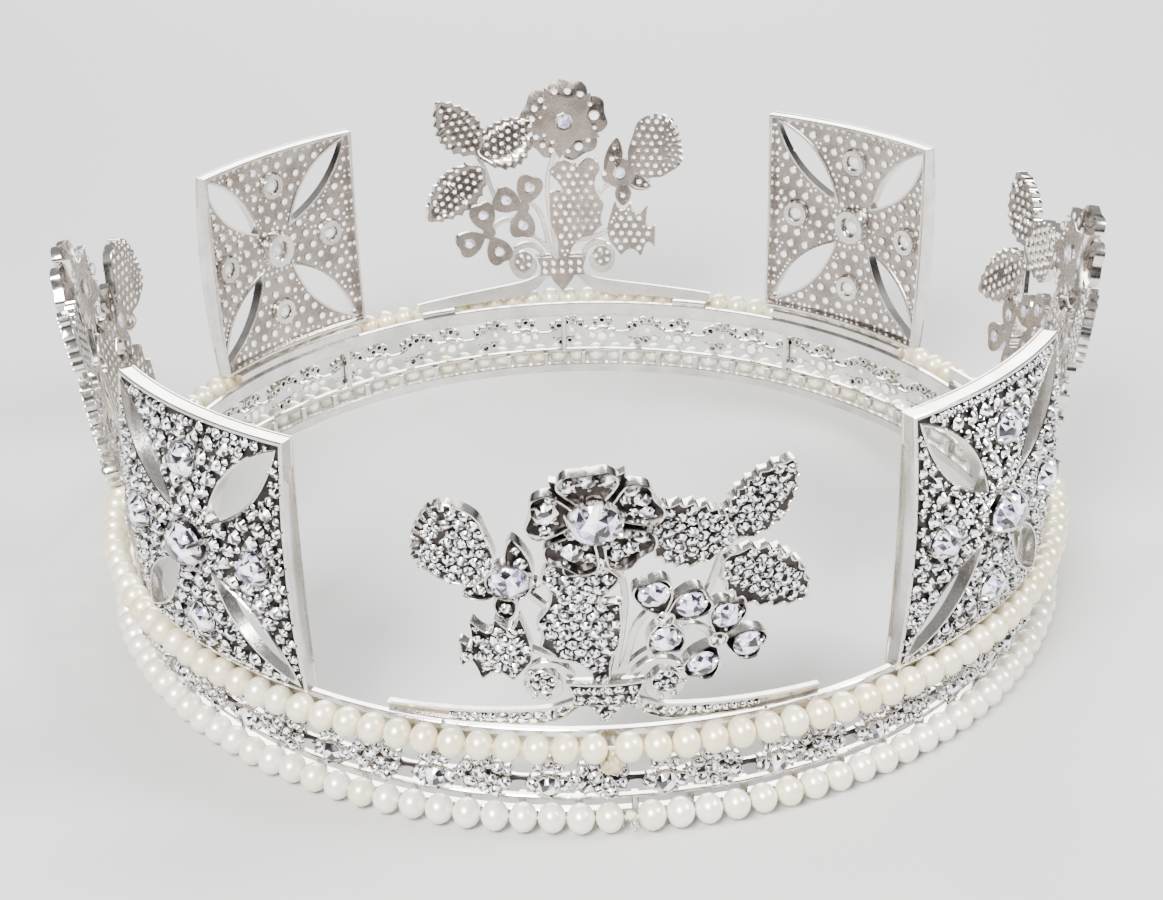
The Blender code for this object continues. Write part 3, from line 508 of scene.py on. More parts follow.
# Stone band
# An openwork strip cast in repeats between the strings of pearls: a claw cluster round one larger stone,
# then a scroll of small stones, with gaps over and under them. The claws hang over the sill wire.
BAND_RADIUS, BAND_LEVEL, BAND_HEIGHT = 0.0920, 0.0059, 0.0082
BAND_THICKNESS, BAND_RELIEF = 0.0008, 0.0010
MOTIF_COUNT, MOTIF_STATIONS = 30, 20
BAND_EDGE = (
    # share along a motif, low and high as shares of the height, how proud
    (0.00, 0.24, 0.62, 0.50),
    (0.13, 0.30, 0.56, 0.40),
    (0.20, 0.40, 0.58, 0.30),
    (0.30, 0.34, 0.74, 0.40),
    (0.40, 0.38, 0.80, 0.40),
    (0.50, 0.34, 0.74, 0.40),
    (0.60, 0.30, 0.60, 0.40),
    (0.70, 0.40, 0.52, 0.20),
    (0.80, 0.40, 0.52, 0.20),
    (0.88, 0.32, 0.54, 0.40),
)
BAND_STONES = (
    # share along a motif, share of the height, radius in millimetres, claws
    (0.000, 0.36, 2.10, 6),
    (-0.128, 0.40, 1.30, 4),
    (0.128, 0.40, 1.30, 4),
    (-0.085, 0.80, 0.88, 3),
    (0.000, 0.90, 0.92, 3),
    (0.085, 0.80, 0.88, 3),
    (0.222, 0.52, 0.90, 3),
    (0.285, 0.74, 1.00, 3),
    (0.310, 0.34, 1.20, 4),
    (0.375, 0.90, 0.85, 3),
    (0.400, 0.60, 1.15, 4),
    (0.425, 0.24, 0.85, 3),
    (0.470, 0.84, 1.00, 3),
    (0.505, 0.46, 1.05, 4),
    (0.535, 0.18, 1.10, 4),
    (0.565, 0.74, 1.00, 3),
    (0.620, 0.40, 1.10, 4),
    (0.645, 0.68, 0.75, 3),
)
PROUD_FROM, LESS_PROUD, OPEN_BACKED_FROM = 1.0, 0.8, 1.1
STONE_LIFT = 0.0002
STONE_SIDES, STONE_TABLE, STONE_CROWN, STONE_PEAK, STONE_DEPTH = 8, 0.56, 0.42, 0.44, 0.45
STONE_TILT = 0.07
FACET_NOISE = 0.12
# Rows of a small stone's facets, for its painted reflections: facets in the row, and its bright parts.
SMALL_FACETS = ((8, 2), (8, 3), (8, 1), (8, 1))
CLAW_SIDES = 5
CLAW_PROFILE = ((0.0, -1.0), (1.0, -1.0), (0.85, 0.6), (0.0, 1.1))
CLAW_REACH, CLAW_RISE, CLAW_SHARE, CLAW_LEAST, CLAW_MOST = 1.02, 0.0002, 0.24, 0.00016, 0.00040
CUP_SIDES, CUP_DEPTH = 12, 0.75
CUP_PROFILE = (
    # reach, rise, share of the depth that it lies down
    (0.93, 0.06, 0),
    (1.06, 0.08, 0),
    (1.15, -0.10, 0),
    (1.12, 0.22, 1),
    (0.98, 0.00, 1),
    (0.62, 0.00, 1),
    (0.60, 0.20, 1),
)
# The stone's point in a hole behind it takes a shade between the last two: a painted glint.
HOLE_SIDES, HOLE_SHARE, HOLE_PAINTED_GLINTS = 8, 0.74, (0.8, 1.0)
HOLE_LIP = ((1.0, 0.15), (0.94, -0.16), (0.74, -0.14), (0.70, 0.15))
STONE_POINT = ((0.0, -0.20), (0.74, 0.0), (0.0, 0.1))
# Painted reflections of the small stones: a facet's shade picks black, grey, lilac-grey or white, in place of
# the light that a cut stone gives back.
PAINTED_REFLECTIONS = (
    (0.00, (0.01, 0.01, 0.01)),
    (0.28, (0.03, 0.03, 0.03)),
    (0.40, (0.28, 0.27, 0.30)),
    (0.52, (0.56, 0.54, 0.60)),
    (0.62, (0.90, 0.90, 0.96)),
    (0.74, (0.62, 0.61, 0.67)),
    (0.84, (1.00, 1.00, 1.00)),
)
# Painted glow: facets whose shade is high give off a little light of their own.
PAINTED_GLOW = ((0.60, (0.0, 0.0, 0.0)), (0.95, (1.0, 1.0, 1.0)))


def small_stone():
    """A stone of unit radius: a girdle, a smaller table half a step round from it, a peak and a point."""
    side = np.arange(STONE_SIDES)
    after = (side + 1) % STONE_SIDES
    turn = side * 2 * np.pi / STONE_SIDES
    half = np.pi / STONE_SIDES
    girdle = np.column_stack([np.cos(turn), np.sin(turn), 0 * turn])
    table = np.column_stack([np.cos(turn + half), np.sin(turn + half), 0 * turn]) * STONE_TABLE
    table[:, 2] = STONE_CROWN
    points = np.concatenate([girdle, table, [(0, 0, STONE_PEAK), (0, 0, -STONE_DEPTH)]])
    upper, upper_after = side + STONE_SIDES, after + STONE_SIDES
    peak, culet = (np.full(STONE_SIDES, len(points) - last) for last in (2, 1))
    rows = (
        (side, after, upper),
        (upper, after, upper_after),
        (peak, upper, upper_after),
        (culet, after, side),
    )
    return points, np.concatenate([np.column_stack(row) for row in rows])


def turned(profile, sides, loop=True):
    """A profile of reach and level carried round w. It closes on itself, or at its ends on the axis."""
    turn = (np.arange(sides) * 2 * np.pi / sides)[None, :]
    reach, level = np.array(profile).T[:, :, None]
    points = np.stack(np.broadcast_arrays(reach * np.cos(turn), reach * np.sin(turn), level), axis=-1)
    return points.reshape(-1, 3), grid_faces(len(profile), sides, rows_close=loop, columns_close=True)


def stone_cup(depth=CUP_DEPTH):
    """A cup of unit inner radius round a stone, with a round hole in its bottom, as deep as is asked for."""
    return turned([(reach, rise - share * depth) for reach, rise, share in CUP_PROFILE], CUP_SIDES)


def painted_sparkle(rows, count):
    """Painted reflections for the facets of some stones, as shades. Each row of facets has a few bright and a
    few
    dark parts, which begin at a random turn: half a cosine of the turn times the number of parts, with a
    little noise."""
    shades = []
    for facets, parts in rows:
        turn = np.arange(facets) * 2 * np.pi / facets
        start = chance.uniform(0, 2 * np.pi, (count, 1))
        shades.append(0.5 + 0.5 * np.cos(parts * turn + start))
    shades = np.concatenate(shades, axis=1)
    return np.clip(shades + chance.normal(0, FACET_NOISE, shades.shape), 0, 1).ravel()


def set_stones(setting, stones, places, radius, level, claws=0, cup_depth=None, back=None):
    """Sets small stones at places (u, v), each with a random turn and a slight tilt, under claws and in a
    cup where asked for. Where back is given, each has a hole with a raised lip at that level, in which the
    stone's point shows with a painted glint."""
    places = np.asarray(places, float).reshape(-1, 2)
    count = len(places)
    radius = np.broadcast_to(np.asarray(radius, float), count)
    at = np.column_stack([places, np.broadcast_to(level, count)])
    turns = chance.uniform(0, np.pi, count)
    points, faces = small_stone()
    copies, joined_faces = repeated(points, faces, at, radius, turns)
    tilt = np.repeat(chance.normal(0, STONE_TILT, (count, 2)), len(points), axis=0)
    copies[:, 2] += ((copies - np.repeat(at, len(points), axis=0))[:, :2] * tilt).sum(axis=1)
    stones.add(copies, joined_faces, shade=painted_sparkle(SMALL_FACETS, count), smooth=False)
    if cup_depth is not None:
        setting.add(*repeated(*stone_cup(cup_depth / radius[0]), at, radius))
    if claws:
        around = (turns[:, None] + np.arange(claws) * 2 * np.pi / claws).ravel()
        reach = np.repeat(radius * CLAW_REACH, claws)
        rise = np.full(count * claws, CLAW_RISE)
        away = np.column_stack([np.cos(around) * reach, np.sin(around) * reach, rise])
        size = np.repeat(np.clip(radius * CLAW_SHARE, CLAW_LEAST, CLAW_MOST), claws)
        one_claw = turned(CLAW_PROFILE, CLAW_SIDES, loop=False)
        setting.add(*repeated(*one_claw, np.repeat(at, claws, axis=0) + away, size))
    if back is not None:
        behind = np.column_stack([places, np.full(count, back)])
        setting.add(*repeated(*turned(HOLE_LIP, HOLE_SIDES), behind, radius * HOLE_SHARE))
        stone_point = turned(STONE_POINT, HOLE_SIDES, loop=False)
        copies, joined_faces = repeated(*stone_point, behind, radius * HOLE_SHARE)
        stones.add(copies, joined_faces, shade=chance.uniform(*HOLE_PAINTED_GLINTS, len(joined_faces)), smooth=False)


# Painted shade: a near-black copy of the plating for the faces that hold stones, where the bright plating
# lies in shade.
painted_shade_setting = metal("painted_shade_setting", (0.065, 0.056, 0.052), (0.018, 0.016, 0.015), 0.30, 0.50)
# The small stones: their base colour is painted reflection, from each facet's shade with fine flecks of
# noise, and their brightest facets carry a painted glow.
crystal = Finish(bpy.data.materials.new("clear_crystal"))
spot = crystal.place_on_piece()
fleck = crystal.node("ShaderNodeTexNoise", {}, {"Vector": spot, "Scale": 900.0, "Detail": 1.0})
spread = crystal.face_shade() + fleck * 0.24 - 0.12
clear_crystal = crystal.surface(
    Base_Color=crystal.node("ShaderNodeValToRGB", {"stops": PAINTED_REFLECTIONS}, {0: spread}),
    Metallic=0.20,
    Roughness=fleck * 0.10 + 0.02,
    Coat_Weight=1.0,
    Coat_Roughness=0.02,
    Emission_Color=crystal.node("ShaderNodeValToRGB", {"stops": PAINTED_GLOW}, {0: spread}),
    Emission_Strength=0.30,
)

along, low, high, proud = np.array(BAND_EDGE).T
stations = MOTIF_COUNT * MOTIF_STATIONS
share = np.arange(stations) / MOTIF_STATIONS
low, high, proud = (np.interp(share % 1, along, edge, period=1) for edge in (low, high, proud))
low, high, proud = ((np.roll(edge, 1) + 2 * edge + np.roll(edge, -1)) / 4 for edge in (low, high, proud))
motif_length = 2 * np.pi * BAND_RADIUS / MOTIF_COUNT
out, up = np.moveaxis(
    bevelled(0.0, BAND_THICKNESS + BAND_RELIEF * proud, low * BAND_HEIGHT, high * BAND_HEIGHT), -1, 0
)
plate = np.stack(np.broadcast_arrays((share * motif_length)[:, None], up, out), axis=-1)
band, band_stones = Shape(), Shape()
# The strip's outward face and its two bevels take the plating's painted shade; the rest is bright plating.
band.add(*swept(plate, loop=True), place=np.tile((0, 1, 1, 1, 0, 0, 0, 0), stations))
for along, up, radius, claws in BAND_STONES:
    across = (np.arange(MOTIF_COUNT) + along) * motif_length
    places = np.column_stack([across, np.full(MOTIF_COUNT, up * BAND_HEIGHT)])
    level = BAND_THICKNESS + BAND_RELIEF * (1.0 if radius > PROUD_FROM else LESS_PROUD) + STONE_LIFT
    behind = 0.0 if radius > OPEN_BACKED_FROM else None
    set_stones(band, band_stones, places, radius / 1000, level, claws, cup_depth=level, back=behind)
band.bend(BAND_RADIUS, BAND_LEVEL)
band_stones.bend(BAND_RADIUS, BAND_LEVEL)
band.piece("stone_band_casting", [bright_plating, painted_shade_setting], "plated_metal", ["stone_band"])
band_stones.piece("stone_band_stones", [clear_crystal], "cut_crystal")


# Crosses
# Four crosses pattee, each a shallow tray bent to the ring: polished walls, a plate set all over with small
# stones under claws, four pointed openings with polished rims, and five larger stones.
CROSS_RADIUS, CROSS_LEVEL = 0.0953, 0.02105
CROSS_WIDTH, CROSS_HEIGHT, CROSS_DEPTH = 0.0443, 0.0478, 0.0031
SWELL_FRONT, SWELL_BACK = 0.0018, 0.0007
EDGE_STATIONS = 24
WALL_THICKNESS, WALL_SUNK, WALL_FOLD = 0.0008, 0.82, 0.0004
PLATE_FRONT, PLATE_MIDDLE, PLATE_BACK = -0.0002, -0.0008, -0.0014
PLATE_START, PLATE_END, PLATE_STATIONS, PLATE_COLUMNS = 0.02, 0.985, 30, 11
OPENING_START, OPENING_END, OPENING_WIDTH = 0.22, 0.92, 0.0060
OPENING_FULLNESS, OPENING_STATIONS = 0.85, 25
RIM_THICKNESS, RIM_TOP, RIM_CROWN, RIM_BEHIND = 0.0005, 0.0002, 0.0001, 0.0002
HAIRLINE = 0.00002
PAVE_ROOM, PAVE_LIFT, CUP_LIFT = 0.975, 0.00025, 0.0002
CROSS_PAVE = (
    # radius, pitch, margin, claws
    (0.00140, 0.00355, 0.0030, 4),
    (0.00095, 0.00205, 0.0009, 3),
    (0.00070, 0.00150, 0.0007, 2),
    (0.00050, 0.00112, 0.0005, 2),
)
ROW_STEP, PAVE_TRIES, PAVE_NOISE, CLEAR_OF_OPENINGS = 0.866, 12, 0.03, 0.0013
CENTRE_STONE, ARM_STONE, ARM_PLACE = 0.0080, 0.0060, 0.0154
CENTRE_SEAT, ARM_SEAT = 0.0012, 0.0006
CROSS_STONES = (
    # which, sideways and up from the middle, size, seat
    ("centre", 0.0, 0.0, CENTRE_STONE, CENTRE_SEAT),
    ("top", 0.0, ARM_PLACE, ARM_STONE, ARM_SEAT),
    ("bottom", 0.0, -ARM_PLACE, ARM_STONE, ARM_SEAT),
    ("left", -ARM_PLACE, 0.0, ARM_STONE, ARM_SEAT),
    ("right", ARM_PLACE, 0.0, ARM_STONE, ARM_SEAT),
)
# The point in the hole behind a larger stone has a fixed shade: a painted glint.
BACK_HOLE, BACK_POINT_PROUD, BACK_POINT_PAINTED_GLINT = 0.30, 0.0001, 0.6
# Rows of a larger stone's facets, for its painted reflections: facets in the row, and its bright parts.
LARGE_FACETS = ((8, 1), (8, 3), (8, 2), (8, 3), (8, 2), (8, 3), (16, 4), (16, 4), (16, 3))
TABLE_REACH, TABLE_RISE, KITE_REACH, KITE_RISE = 0.56, 0.4464, 0.80, 0.30
GIRDLE_RISE, PEAK_RISE, CULET_DEPTH = 0.06, 0.46, 0.36
BENT_CLAW_START, BENT_CLAW_SIDES = 0.4, 6
BENT_CLAW = (
    # reach, level, thickness, how much of it lies outward, how much upward
    (1.10, -0.55, 0.13, 0.9, 0.1),
    (1.12, 0.00, 0.13, 0.9, 0.1),
    (1.06, 0.20, 0.13, 0.3, 0.9),
    (0.90, 0.32, 0.11, 0.3, 0.9),
    (0.80, 0.36, 0.06, 0.3, 0.9),
)
# Painted reflections of the larger stones: black, grey, lilac, a little blue and white.
PAINTED_LILAC_REFLECTIONS = (
    (0.00, (0.01, 0.01, 0.01)),
    (0.28, (0.03, 0.03, 0.035)),
    (0.40, (0.28, 0.25, 0.37)),
    (0.46, (0.38, 0.45, 0.76)),
    (0.52, (0.57, 0.53, 0.70)),
    (0.62, (0.90, 0.88, 1.00)),
    (0.74, (0.62, 0.60, 0.72)),
    (0.84, (1.00, 1.00, 1.00)),
)
# Places of the platings: bright plating, its painted shade on faces that hold stones, and the back plating.
BRIGHT, PAINTED_SHADE, BEHIND = 0, 1, 2


def cross_swell(v, w):
    """How far a cross swells outward at half its height, more at its face than at its back."""
    share = 1.0 - (2.0 * v / CROSS_HEIGHT - 1.0) ** 2
    return share * (SWELL_BACK + (SWELL_FRONT - SWELL_BACK) * (1.0 + w / CROSS_DEPTH))


def opening_half(share, width):
    """Half the width of a pointed opening at a share of its length: a sine raised to a power under one."""
    return width / 2 * np.sin(np.pi * np.clip(share, 0, 1)) ** OPENING_FULLNESS


def opening_edge(corner, grown=0.0):
    """The outline of the opening that points at a corner, grown outward all round."""
    reach = np.hypot(*corner)
    ahead = np.array(corner) / reach
    beside = np.array((-ahead[1], ahead[0]))
    share = np.linspace(0, 1, OPENING_STATIONS)
    start, end = OPENING_START * reach - 2 * grown, OPENING_END * reach + 2 * grown
    half = opening_half(share, OPENING_WIDTH + 2 * grown)[:, None]
    line = ahead * (start + (end - start) * share)[:, None] + middle
    return np.concatenate([line + beside * half, (line - beside * half)[-2:0:-1]])


def band_between(inner, outer, profile):
    """A closed skin between two like outlines. The profile gives the share of the way out and the level w."""
    rows = []
    for share, level in profile:
        rows.append(np.column_stack([inner + (outer - inner) * share, np.full(len(inner), level)]))
    return np.concatenate(rows), grid_faces(len(profile), len(inner), rows_close=True, columns_close=True)


def slab(front, back):
    """A closed plate between two grids of points."""
    return swept(np.concatenate([front, back[:, ::-1]], axis=1))


def distance_inside(points, outline):
    """How far points lie inside an outline, and less than nothing outside it. A point is inside if a line
    from it crosses the outline an odd number of times."""
    ends = np.roll(outline, -1, axis=0)
    run = ends - outline
    from_start = points[:, None] - outline[None]
    share = np.clip((from_start * run).sum(axis=2) / (run**2).sum(axis=1), 0, 1)
    distance = np.linalg.norm(from_start - share[..., None] * run, axis=2).min(axis=1)
    above = outline[None, :, 1] > points[:, 1:2]
    spans = above != (ends[None, :, 1] > points[:, 1:2])
    climb = np.where(run[:, 1] == 0, 1, run[:, 1])
    crossing = outline[:, 0] + (points[:, 1:2] - outline[:, 1]) * run[:, 0] / climb
    odd = (spans & (points[:, 0:1] < crossing)).sum(axis=1) % 2 == 1
    return np.where(odd, distance, -distance)


def pave(outline, pitch, margin, turn=0.0, clear=()):
    """Places for small stones: a lattice of triangles inside an outline, shifted so that the most fit in.
    They keep clear of other outlines and of round places given as (u, v, radius)."""
    low, high = outline.min(axis=0), outline.max(axis=0)
    span = np.hypot(*(high - low)) / 2 + 2 * pitch
    row_count, column_count = math.ceil(span / (pitch * ROW_STEP)), math.ceil(span / pitch)
    rows, columns = np.arange(-row_count, row_count + 1), np.arange(-column_count, column_count + 1)
    v, u = np.meshgrid(rows * pitch * ROW_STEP, columns * pitch, indexing="ij")
    u = u + (rows[:, None] % 2) * pitch / 2
    c, s = math.cos(turn), math.sin(turn)
    lattice = np.column_stack([(u * c - v * s).ravel(), (u * s + v * c).ravel()]) + (low + high) / 2
    best = np.zeros((0, 2))
    for shift in chance.uniform(-pitch / 2, pitch / 2, (PAVE_TRIES, 2)):
        places = lattice + shift + chance.normal(0, pitch * PAVE_NOISE, lattice.shape)
        kept = distance_inside(places, outline) > margin
        for other in clear:
            if len(other) == 3:
                kept &= np.hypot(*(places - other[:2]).T) > other[2]
            else:
                kept &= distance_inside(places, other) < -min(margin, CLEAR_OF_OPENINGS)
        if kept.sum() > len(best):
            best = places[kept]
    return best


def brilliant():
    """A larger stone of unit radius: an eight-sided table, star, kite and girdle facets on its crown, and
    a pointed pavilion."""
    eighth = np.arange(8) * np.pi / 4
    sixteenth = np.arange(16) * np.pi / 8
    rings = []
    for turn, reach, rise in (
        (eighth, TABLE_REACH, TABLE_RISE),
        (eighth + np.pi / 8, KITE_REACH, KITE_RISE),
        (sixteenth, 1.0, GIRDLE_RISE),
        (sixteenth, 1.0, -GIRDLE_RISE),
    ):
        rings.append(np.column_stack([np.cos(turn) * reach, np.sin(turn) * reach, np.full(len(turn), rise)]))
    points = np.concatenate([*rings, [(0, 0, PEAK_RISE), (0, 0, -CULET_DEPTH)]])
    side, after, before = np.arange(8), (np.arange(8) + 1) % 8, (np.arange(8) - 1) % 8
    whole, beside = np.arange(16), (np.arange(16) + 1) % 16
    peak, culet = np.full(8, len(points) - 2), np.full(16, len(points) - 1)
    kite, girdle, low_girdle = 8, 16, 32
    rows = (
        (peak, side, after),
        (side, side + kite, after),
        (side, before + kite, girdle + 2 * side),
        (side, girdle + 2 * side, side + kite),
        (side + kite, girdle + 2 * side, girdle + 1 + 2 * side),
        (side + kite, girdle + 1 + 2 * side, girdle + 2 * after),
        (girdle + whole, low_girdle + whole, low_girdle + beside),
        (girdle + whole, low_girdle + beside, girdle + beside),
        (culet, low_girdle + beside, low_girdle + whole),
    )
    return points, np.concatenate([np.column_stack(row) for row in rows])


def set_brilliant(setting, stones, place, radius, level, claws=4):
    """Sets one larger stone at a place (u, v) under claws that bend over its edge."""
    at = np.array([(*place, level)])
    shade = painted_sparkle(LARGE_FACETS, 1)
    stones.add(*repeated(*brilliant(), at, radius, chance.uniform(0, 1, 1)), shade=shade, smooth=False)
    around = np.arange(BENT_CLAW_SIDES) * 2 * np.pi / BENT_CLAW_SIDES
    reach, rise, thick, outward, upward = np.array(BENT_CLAW).T[:, :, None]
    out = reach + thick * np.sin(around) * outward
    up = rise + thick * np.sin(around) * upward
    turns = BENT_CLAW_START + np.arange(claws) * 2 * np.pi / claws
    one_claw = swept(np.stack([out, thick * np.cos(around), up], axis=-1))
    setting.add(*repeated(*one_claw, np.repeat(at, claws, axis=0), radius, turns))


def open_back(setting, stones, place, size, level, proud=0.0):
    """The raised hole behind a larger stone, with the point of the stone in it, painted bright as a glint."""
    setting.add(*repeated(*turned(HOLE_LIP, HOLE_SIDES), np.array([(*place, level)]), size * BACK_HOLE))
    stone_point = turned(STONE_POINT, HOLE_SIDES, loop=False)
    copies = repeated(*stone_point, np.array([(*place, level - proud)]), size * BACK_HOLE)
    stones.add(*copies, shade=BACK_POINT_PAINTED_GLINT, smooth=False)


# The larger stones: their base colour is painted reflection, from each facet's shade and a pattern of cells
# for painted inner facets, and their brightest parts carry a painted glow.
gem = Finish(bpy.data.materials.new("lead_crystal"))
inner = gem.node("ShaderNodeTexVoronoi", {}, {"Vector": gem.place_on_piece(), "Scale": 1000.0}, output=1)
inner = gem.node("ShaderNodeSeparateColor", {}, {0: inner})
spread = gem.face_shade() * 0.75 + inner * 0.45 - 0.08
lead_crystal = gem.surface(
    Base_Color=gem.node("ShaderNodeValToRGB", {"stops": PAINTED_LILAC_REFLECTIONS}, {0: spread}),
    Metallic=0.20,
    Roughness=inner * 0.06 + 0.02,
    Coat_Weight=0.5,
    Coat_Roughness=0.02,
    Emission_Color=gem.node("ShaderNodeValToRGB", {"stops": PAINTED_GLOW}, {0: spread}),
    Emission_Strength=0.25,
)
# The backs of the castings: the same plating, rougher, and painted darker and browner as painted shade and
# reflection.
back_plating_painted_shade = metal("back_plating_painted_shade", (0.44, 0.39, 0.355), (0.24, 0.205, 0.185), 0.16, 0.34)
PLATINGS = [bright_plating, painted_shade_setting, back_plating_painted_shade]

half_size = np.array((CROSS_WIDTH, CROSS_HEIGHT)) / 2
corners = [half_size * way for way in ((1, 1), (-1, 1), (-1, -1), (1, -1))]
sides = list(zip(corners, corners[1:] + corners[:1]))
middle = np.array((0, CROSS_HEIGHT / 2))


def add_walls(casting, edge):
    """The tray's walls, whose outer side has a sunk band between two folds."""
    share = np.array((WALL_THICKNESS / (CROSS_WIDTH / 2), WALL_THICKNESS / (CROSS_HEIGHT / 2)))
    cut = EDGE_CUT / WALL_THICKNESS
    profile = (
        (cut, 0.0),
        (1 - cut, 0.0),
        (1.0, -EDGE_CUT),
        (1.0, -WALL_FOLD),
        (WALL_SUNK, -WALL_FOLD - EDGE_CUT),
        (WALL_SUNK, WALL_FOLD + EDGE_CUT - CROSS_DEPTH),
        (1.0, WALL_FOLD - CROSS_DEPTH),
        (1.0, EDGE_CUT - CROSS_DEPTH),
        (1 - cut, -CROSS_DEPTH),
        (cut, -CROSS_DEPTH),
        (0.0, EDGE_CUT - CROSS_DEPTH),
        (0.0, -EDGE_CUT),
    )
    casting.add(*band_between(edge * (1 - share) + middle, edge + middle, profile))


def add_arms(casting):
    """The plate's four arms. Each is a grid from one diagonal to the next, which starts where the openings
    along those diagonals leave metal. Its front half is in the plating's painted shade and its back half in
    the back plating, which is painted darker."""
    share = np.linspace(PLATE_START, PLATE_END, PLATE_STATIONS)
    opened = (share - OPENING_START) / (OPENING_END - OPENING_START)
    half = np.maximum(opening_half(opened, OPENING_WIDTH + RIM_THICKNESS), HAIRLINE)
    across = np.linspace(0, 1, PLATE_COLUMNS)[None, :, None]
    for first, second in sides:
        lines = []
        for corner, other in ((first, second), (second, first)):
            ahead = corner / np.hypot(*corner)
            toward = other - ahead * (other @ ahead)
            lines.append(corner * share[:, None] + toward / np.hypot(*toward) * half[:, None] + middle)
        flat = lines[0][:, None] + (lines[1] - lines[0])[:, None] * across
        front, half_way, back = (
            np.concatenate([flat, np.full((*flat.shape[:2], 1), level)], axis=2)
            for level in (PLATE_FRONT, PLATE_MIDDLE, PLATE_BACK)
        )
        casting.add(*slab(front, half_way), place=PAINTED_SHADE)
        casting.add(*slab(half_way, back), place=BEHIND)


def flat_cross():
    """The walls, plates, rims and small stones of one cross, laid flat."""
    casting, stones = Shape(), Shape()
    run = np.linspace(0, 1, EDGE_STATIONS, endpoint=False)[:, None]
    edge = np.concatenate([first + (second - first) * run for first, second in sides])
    add_walls(casting, edge)
    add_arms(casting)
    rim = (
        (0.0, RIM_TOP),
        (0.5, RIM_TOP + RIM_CROWN),
        (1.0, RIM_TOP - RIM_CROWN),
        (1.0, PLATE_BACK - RIM_BEHIND),
        (0.0, PLATE_BACK - RIM_BEHIND - RIM_CROWN),
    )
    for corner in corners:
        casting.add(*band_between(opening_edge(corner), opening_edge(corner, RIM_THICKNESS), rim))
    openings = [opening_edge(corner, RIM_THICKNESS / 2) for corner in corners]
    taken = [(*(middle + (sideways, up)), size / 2) for _, sideways, up, size, _ in CROSS_STONES]
    room = edge[:: EDGE_STATIONS // 4] * PAVE_ROOM + middle
    for radius, pitch, margin, claws in CROSS_PAVE:
        clear = openings + [(u, v, size + radius + HAIRLINE) for u, v, size in taken]
        places = pave(room, pitch, margin, clear=clear)
        set_stones(casting, stones, places, radius, PLATE_FRONT + PAVE_LIFT, claws=claws, back=PLATE_BACK)
        taken += [(u, v, radius) for u, v in places]
    for _, sideways, up, size, _ in CROSS_STONES:
        place = middle + (sideways, up)
        casting.add(*repeated(*stone_cup(), np.array([(*place, PLATE_FRONT + CUP_LIFT)]), size / 2))
        open_back(casting, stones, place, size, PLATE_BACK, proud=BACK_POINT_PROUD)
    return casting, stones


for name, turn in CROSS_TURNS.items():
    casting, stones = flat_cross()
    for which, sideways, up, size, seat in CROSS_STONES:
        single = Shape()
        set_brilliant(casting, single, middle + (sideways, up), size / 2, seat)
        single.bend(CROSS_RADIUS, CROSS_LEVEL, swell=cross_swell)
        node = f"cross_{name}_{which}_stone"
        single.piece(f"cut_stone_{name}_{which}", [lead_crystal], "cut_crystal", [node], turn)
    for shape, kind, materials, slot, nodes in (
        (casting, "casting", PLATINGS, "plated_metal", [f"cross_{name}"]),
        (stones, "small_stones", [clear_crystal], "cut_crystal", []),
    ):
        shape.bend(CROSS_RADIUS, CROSS_LEVEL, swell=cross_swell)
        shape.piece(f"pattee_{name}_{kind}", materials, slot, nodes, turn)


# Sprays
# Four flower sprays, each cast in one: bars that sweep from a collar, scrolls, a rose with its leaves, a
# thistle with its leaves and two shamrocks. All but the stems is set with stones. The whole leans outward.
SPRAY_RADIUS, SPRAY_LEVEL, SPRAY_LEAN = 0.0922, 0.0220, math.radians(7.6)
SPRAY_HEIGHT = 0.0520
SPRAY_FRONT, SPRAY_BACK = 0.0008, -0.0008
LEAF_STONE_LEVEL = SPRAY_FRONT + STONE_LIFT
SWAG_LENGTH, SWAG_STATIONS = 0.0370, 40
SWAG_ROWS = (
    # out, low, high
    (0.00, 0.062, 0.098),
    (0.10, 0.058, 0.095),
    (0.17, 0.010, 0.068),
    (0.27, -0.022, 0.044),
    (0.47, -0.031, 0.027),
    (0.72, -0.037, 0.014),
    (1.00, -0.040, 0.003),
)
SWAG_RIM, SWAG_LEVELS = 0.00045, (-0.0003, 0.0006, 0.0007, 0.0003)
SWAG_STONES = ((0.14, 0.00095), (0.30, 0.00100), (0.50, 0.00080), (0.72, 0.00050))
SWAG_STONE_STEP, SWAG_STONE_DROP, SWAG_STONE_LEVEL = 2.04, 0.0001, 0.00045
COLLAR_EDGE = (
    (-0.108, 0.066), (0.108, 0.066), (0.100, 0.105), (0.118, 0.157), (-0.118, 0.157), (-0.100, 0.105),
)
COLLAR_FRONT, COLLAR_BACK = 0.0012, -0.0003
COLLAR_RIB_HALF, COLLAR_RIB_UP, COLLAR_RIB_BOW, COLLAR_RIB_STATIONS = 0.122, 0.157, 0.010, 9
COLLAR_RIB_WIDTH, COLLAR_RIB_LOW, COLLAR_RIB_HIGH = 0.0006, 0.0008, 0.0019
COLLAR_STONES_ACROSS, COLLAR_STONES_UP = (-0.082, 0.082, 5), (0.090, 0.128)
COLLAR_STONE, COLLAR_STONE_LEVEL = 0.00098, 0.00145
FINIAL_EDGE = ((-0.065, 0.080), (-0.045, 0.040), (0.000, -0.012), (0.045, 0.040), (0.065, 0.080))
FINIAL_MIDDLE, FINIAL_STONE = (0.0, 0.045), 0.00100
FINIAL_STONES = ((-0.026, 0.050), (0.026, 0.050), (0.000, 0.018))
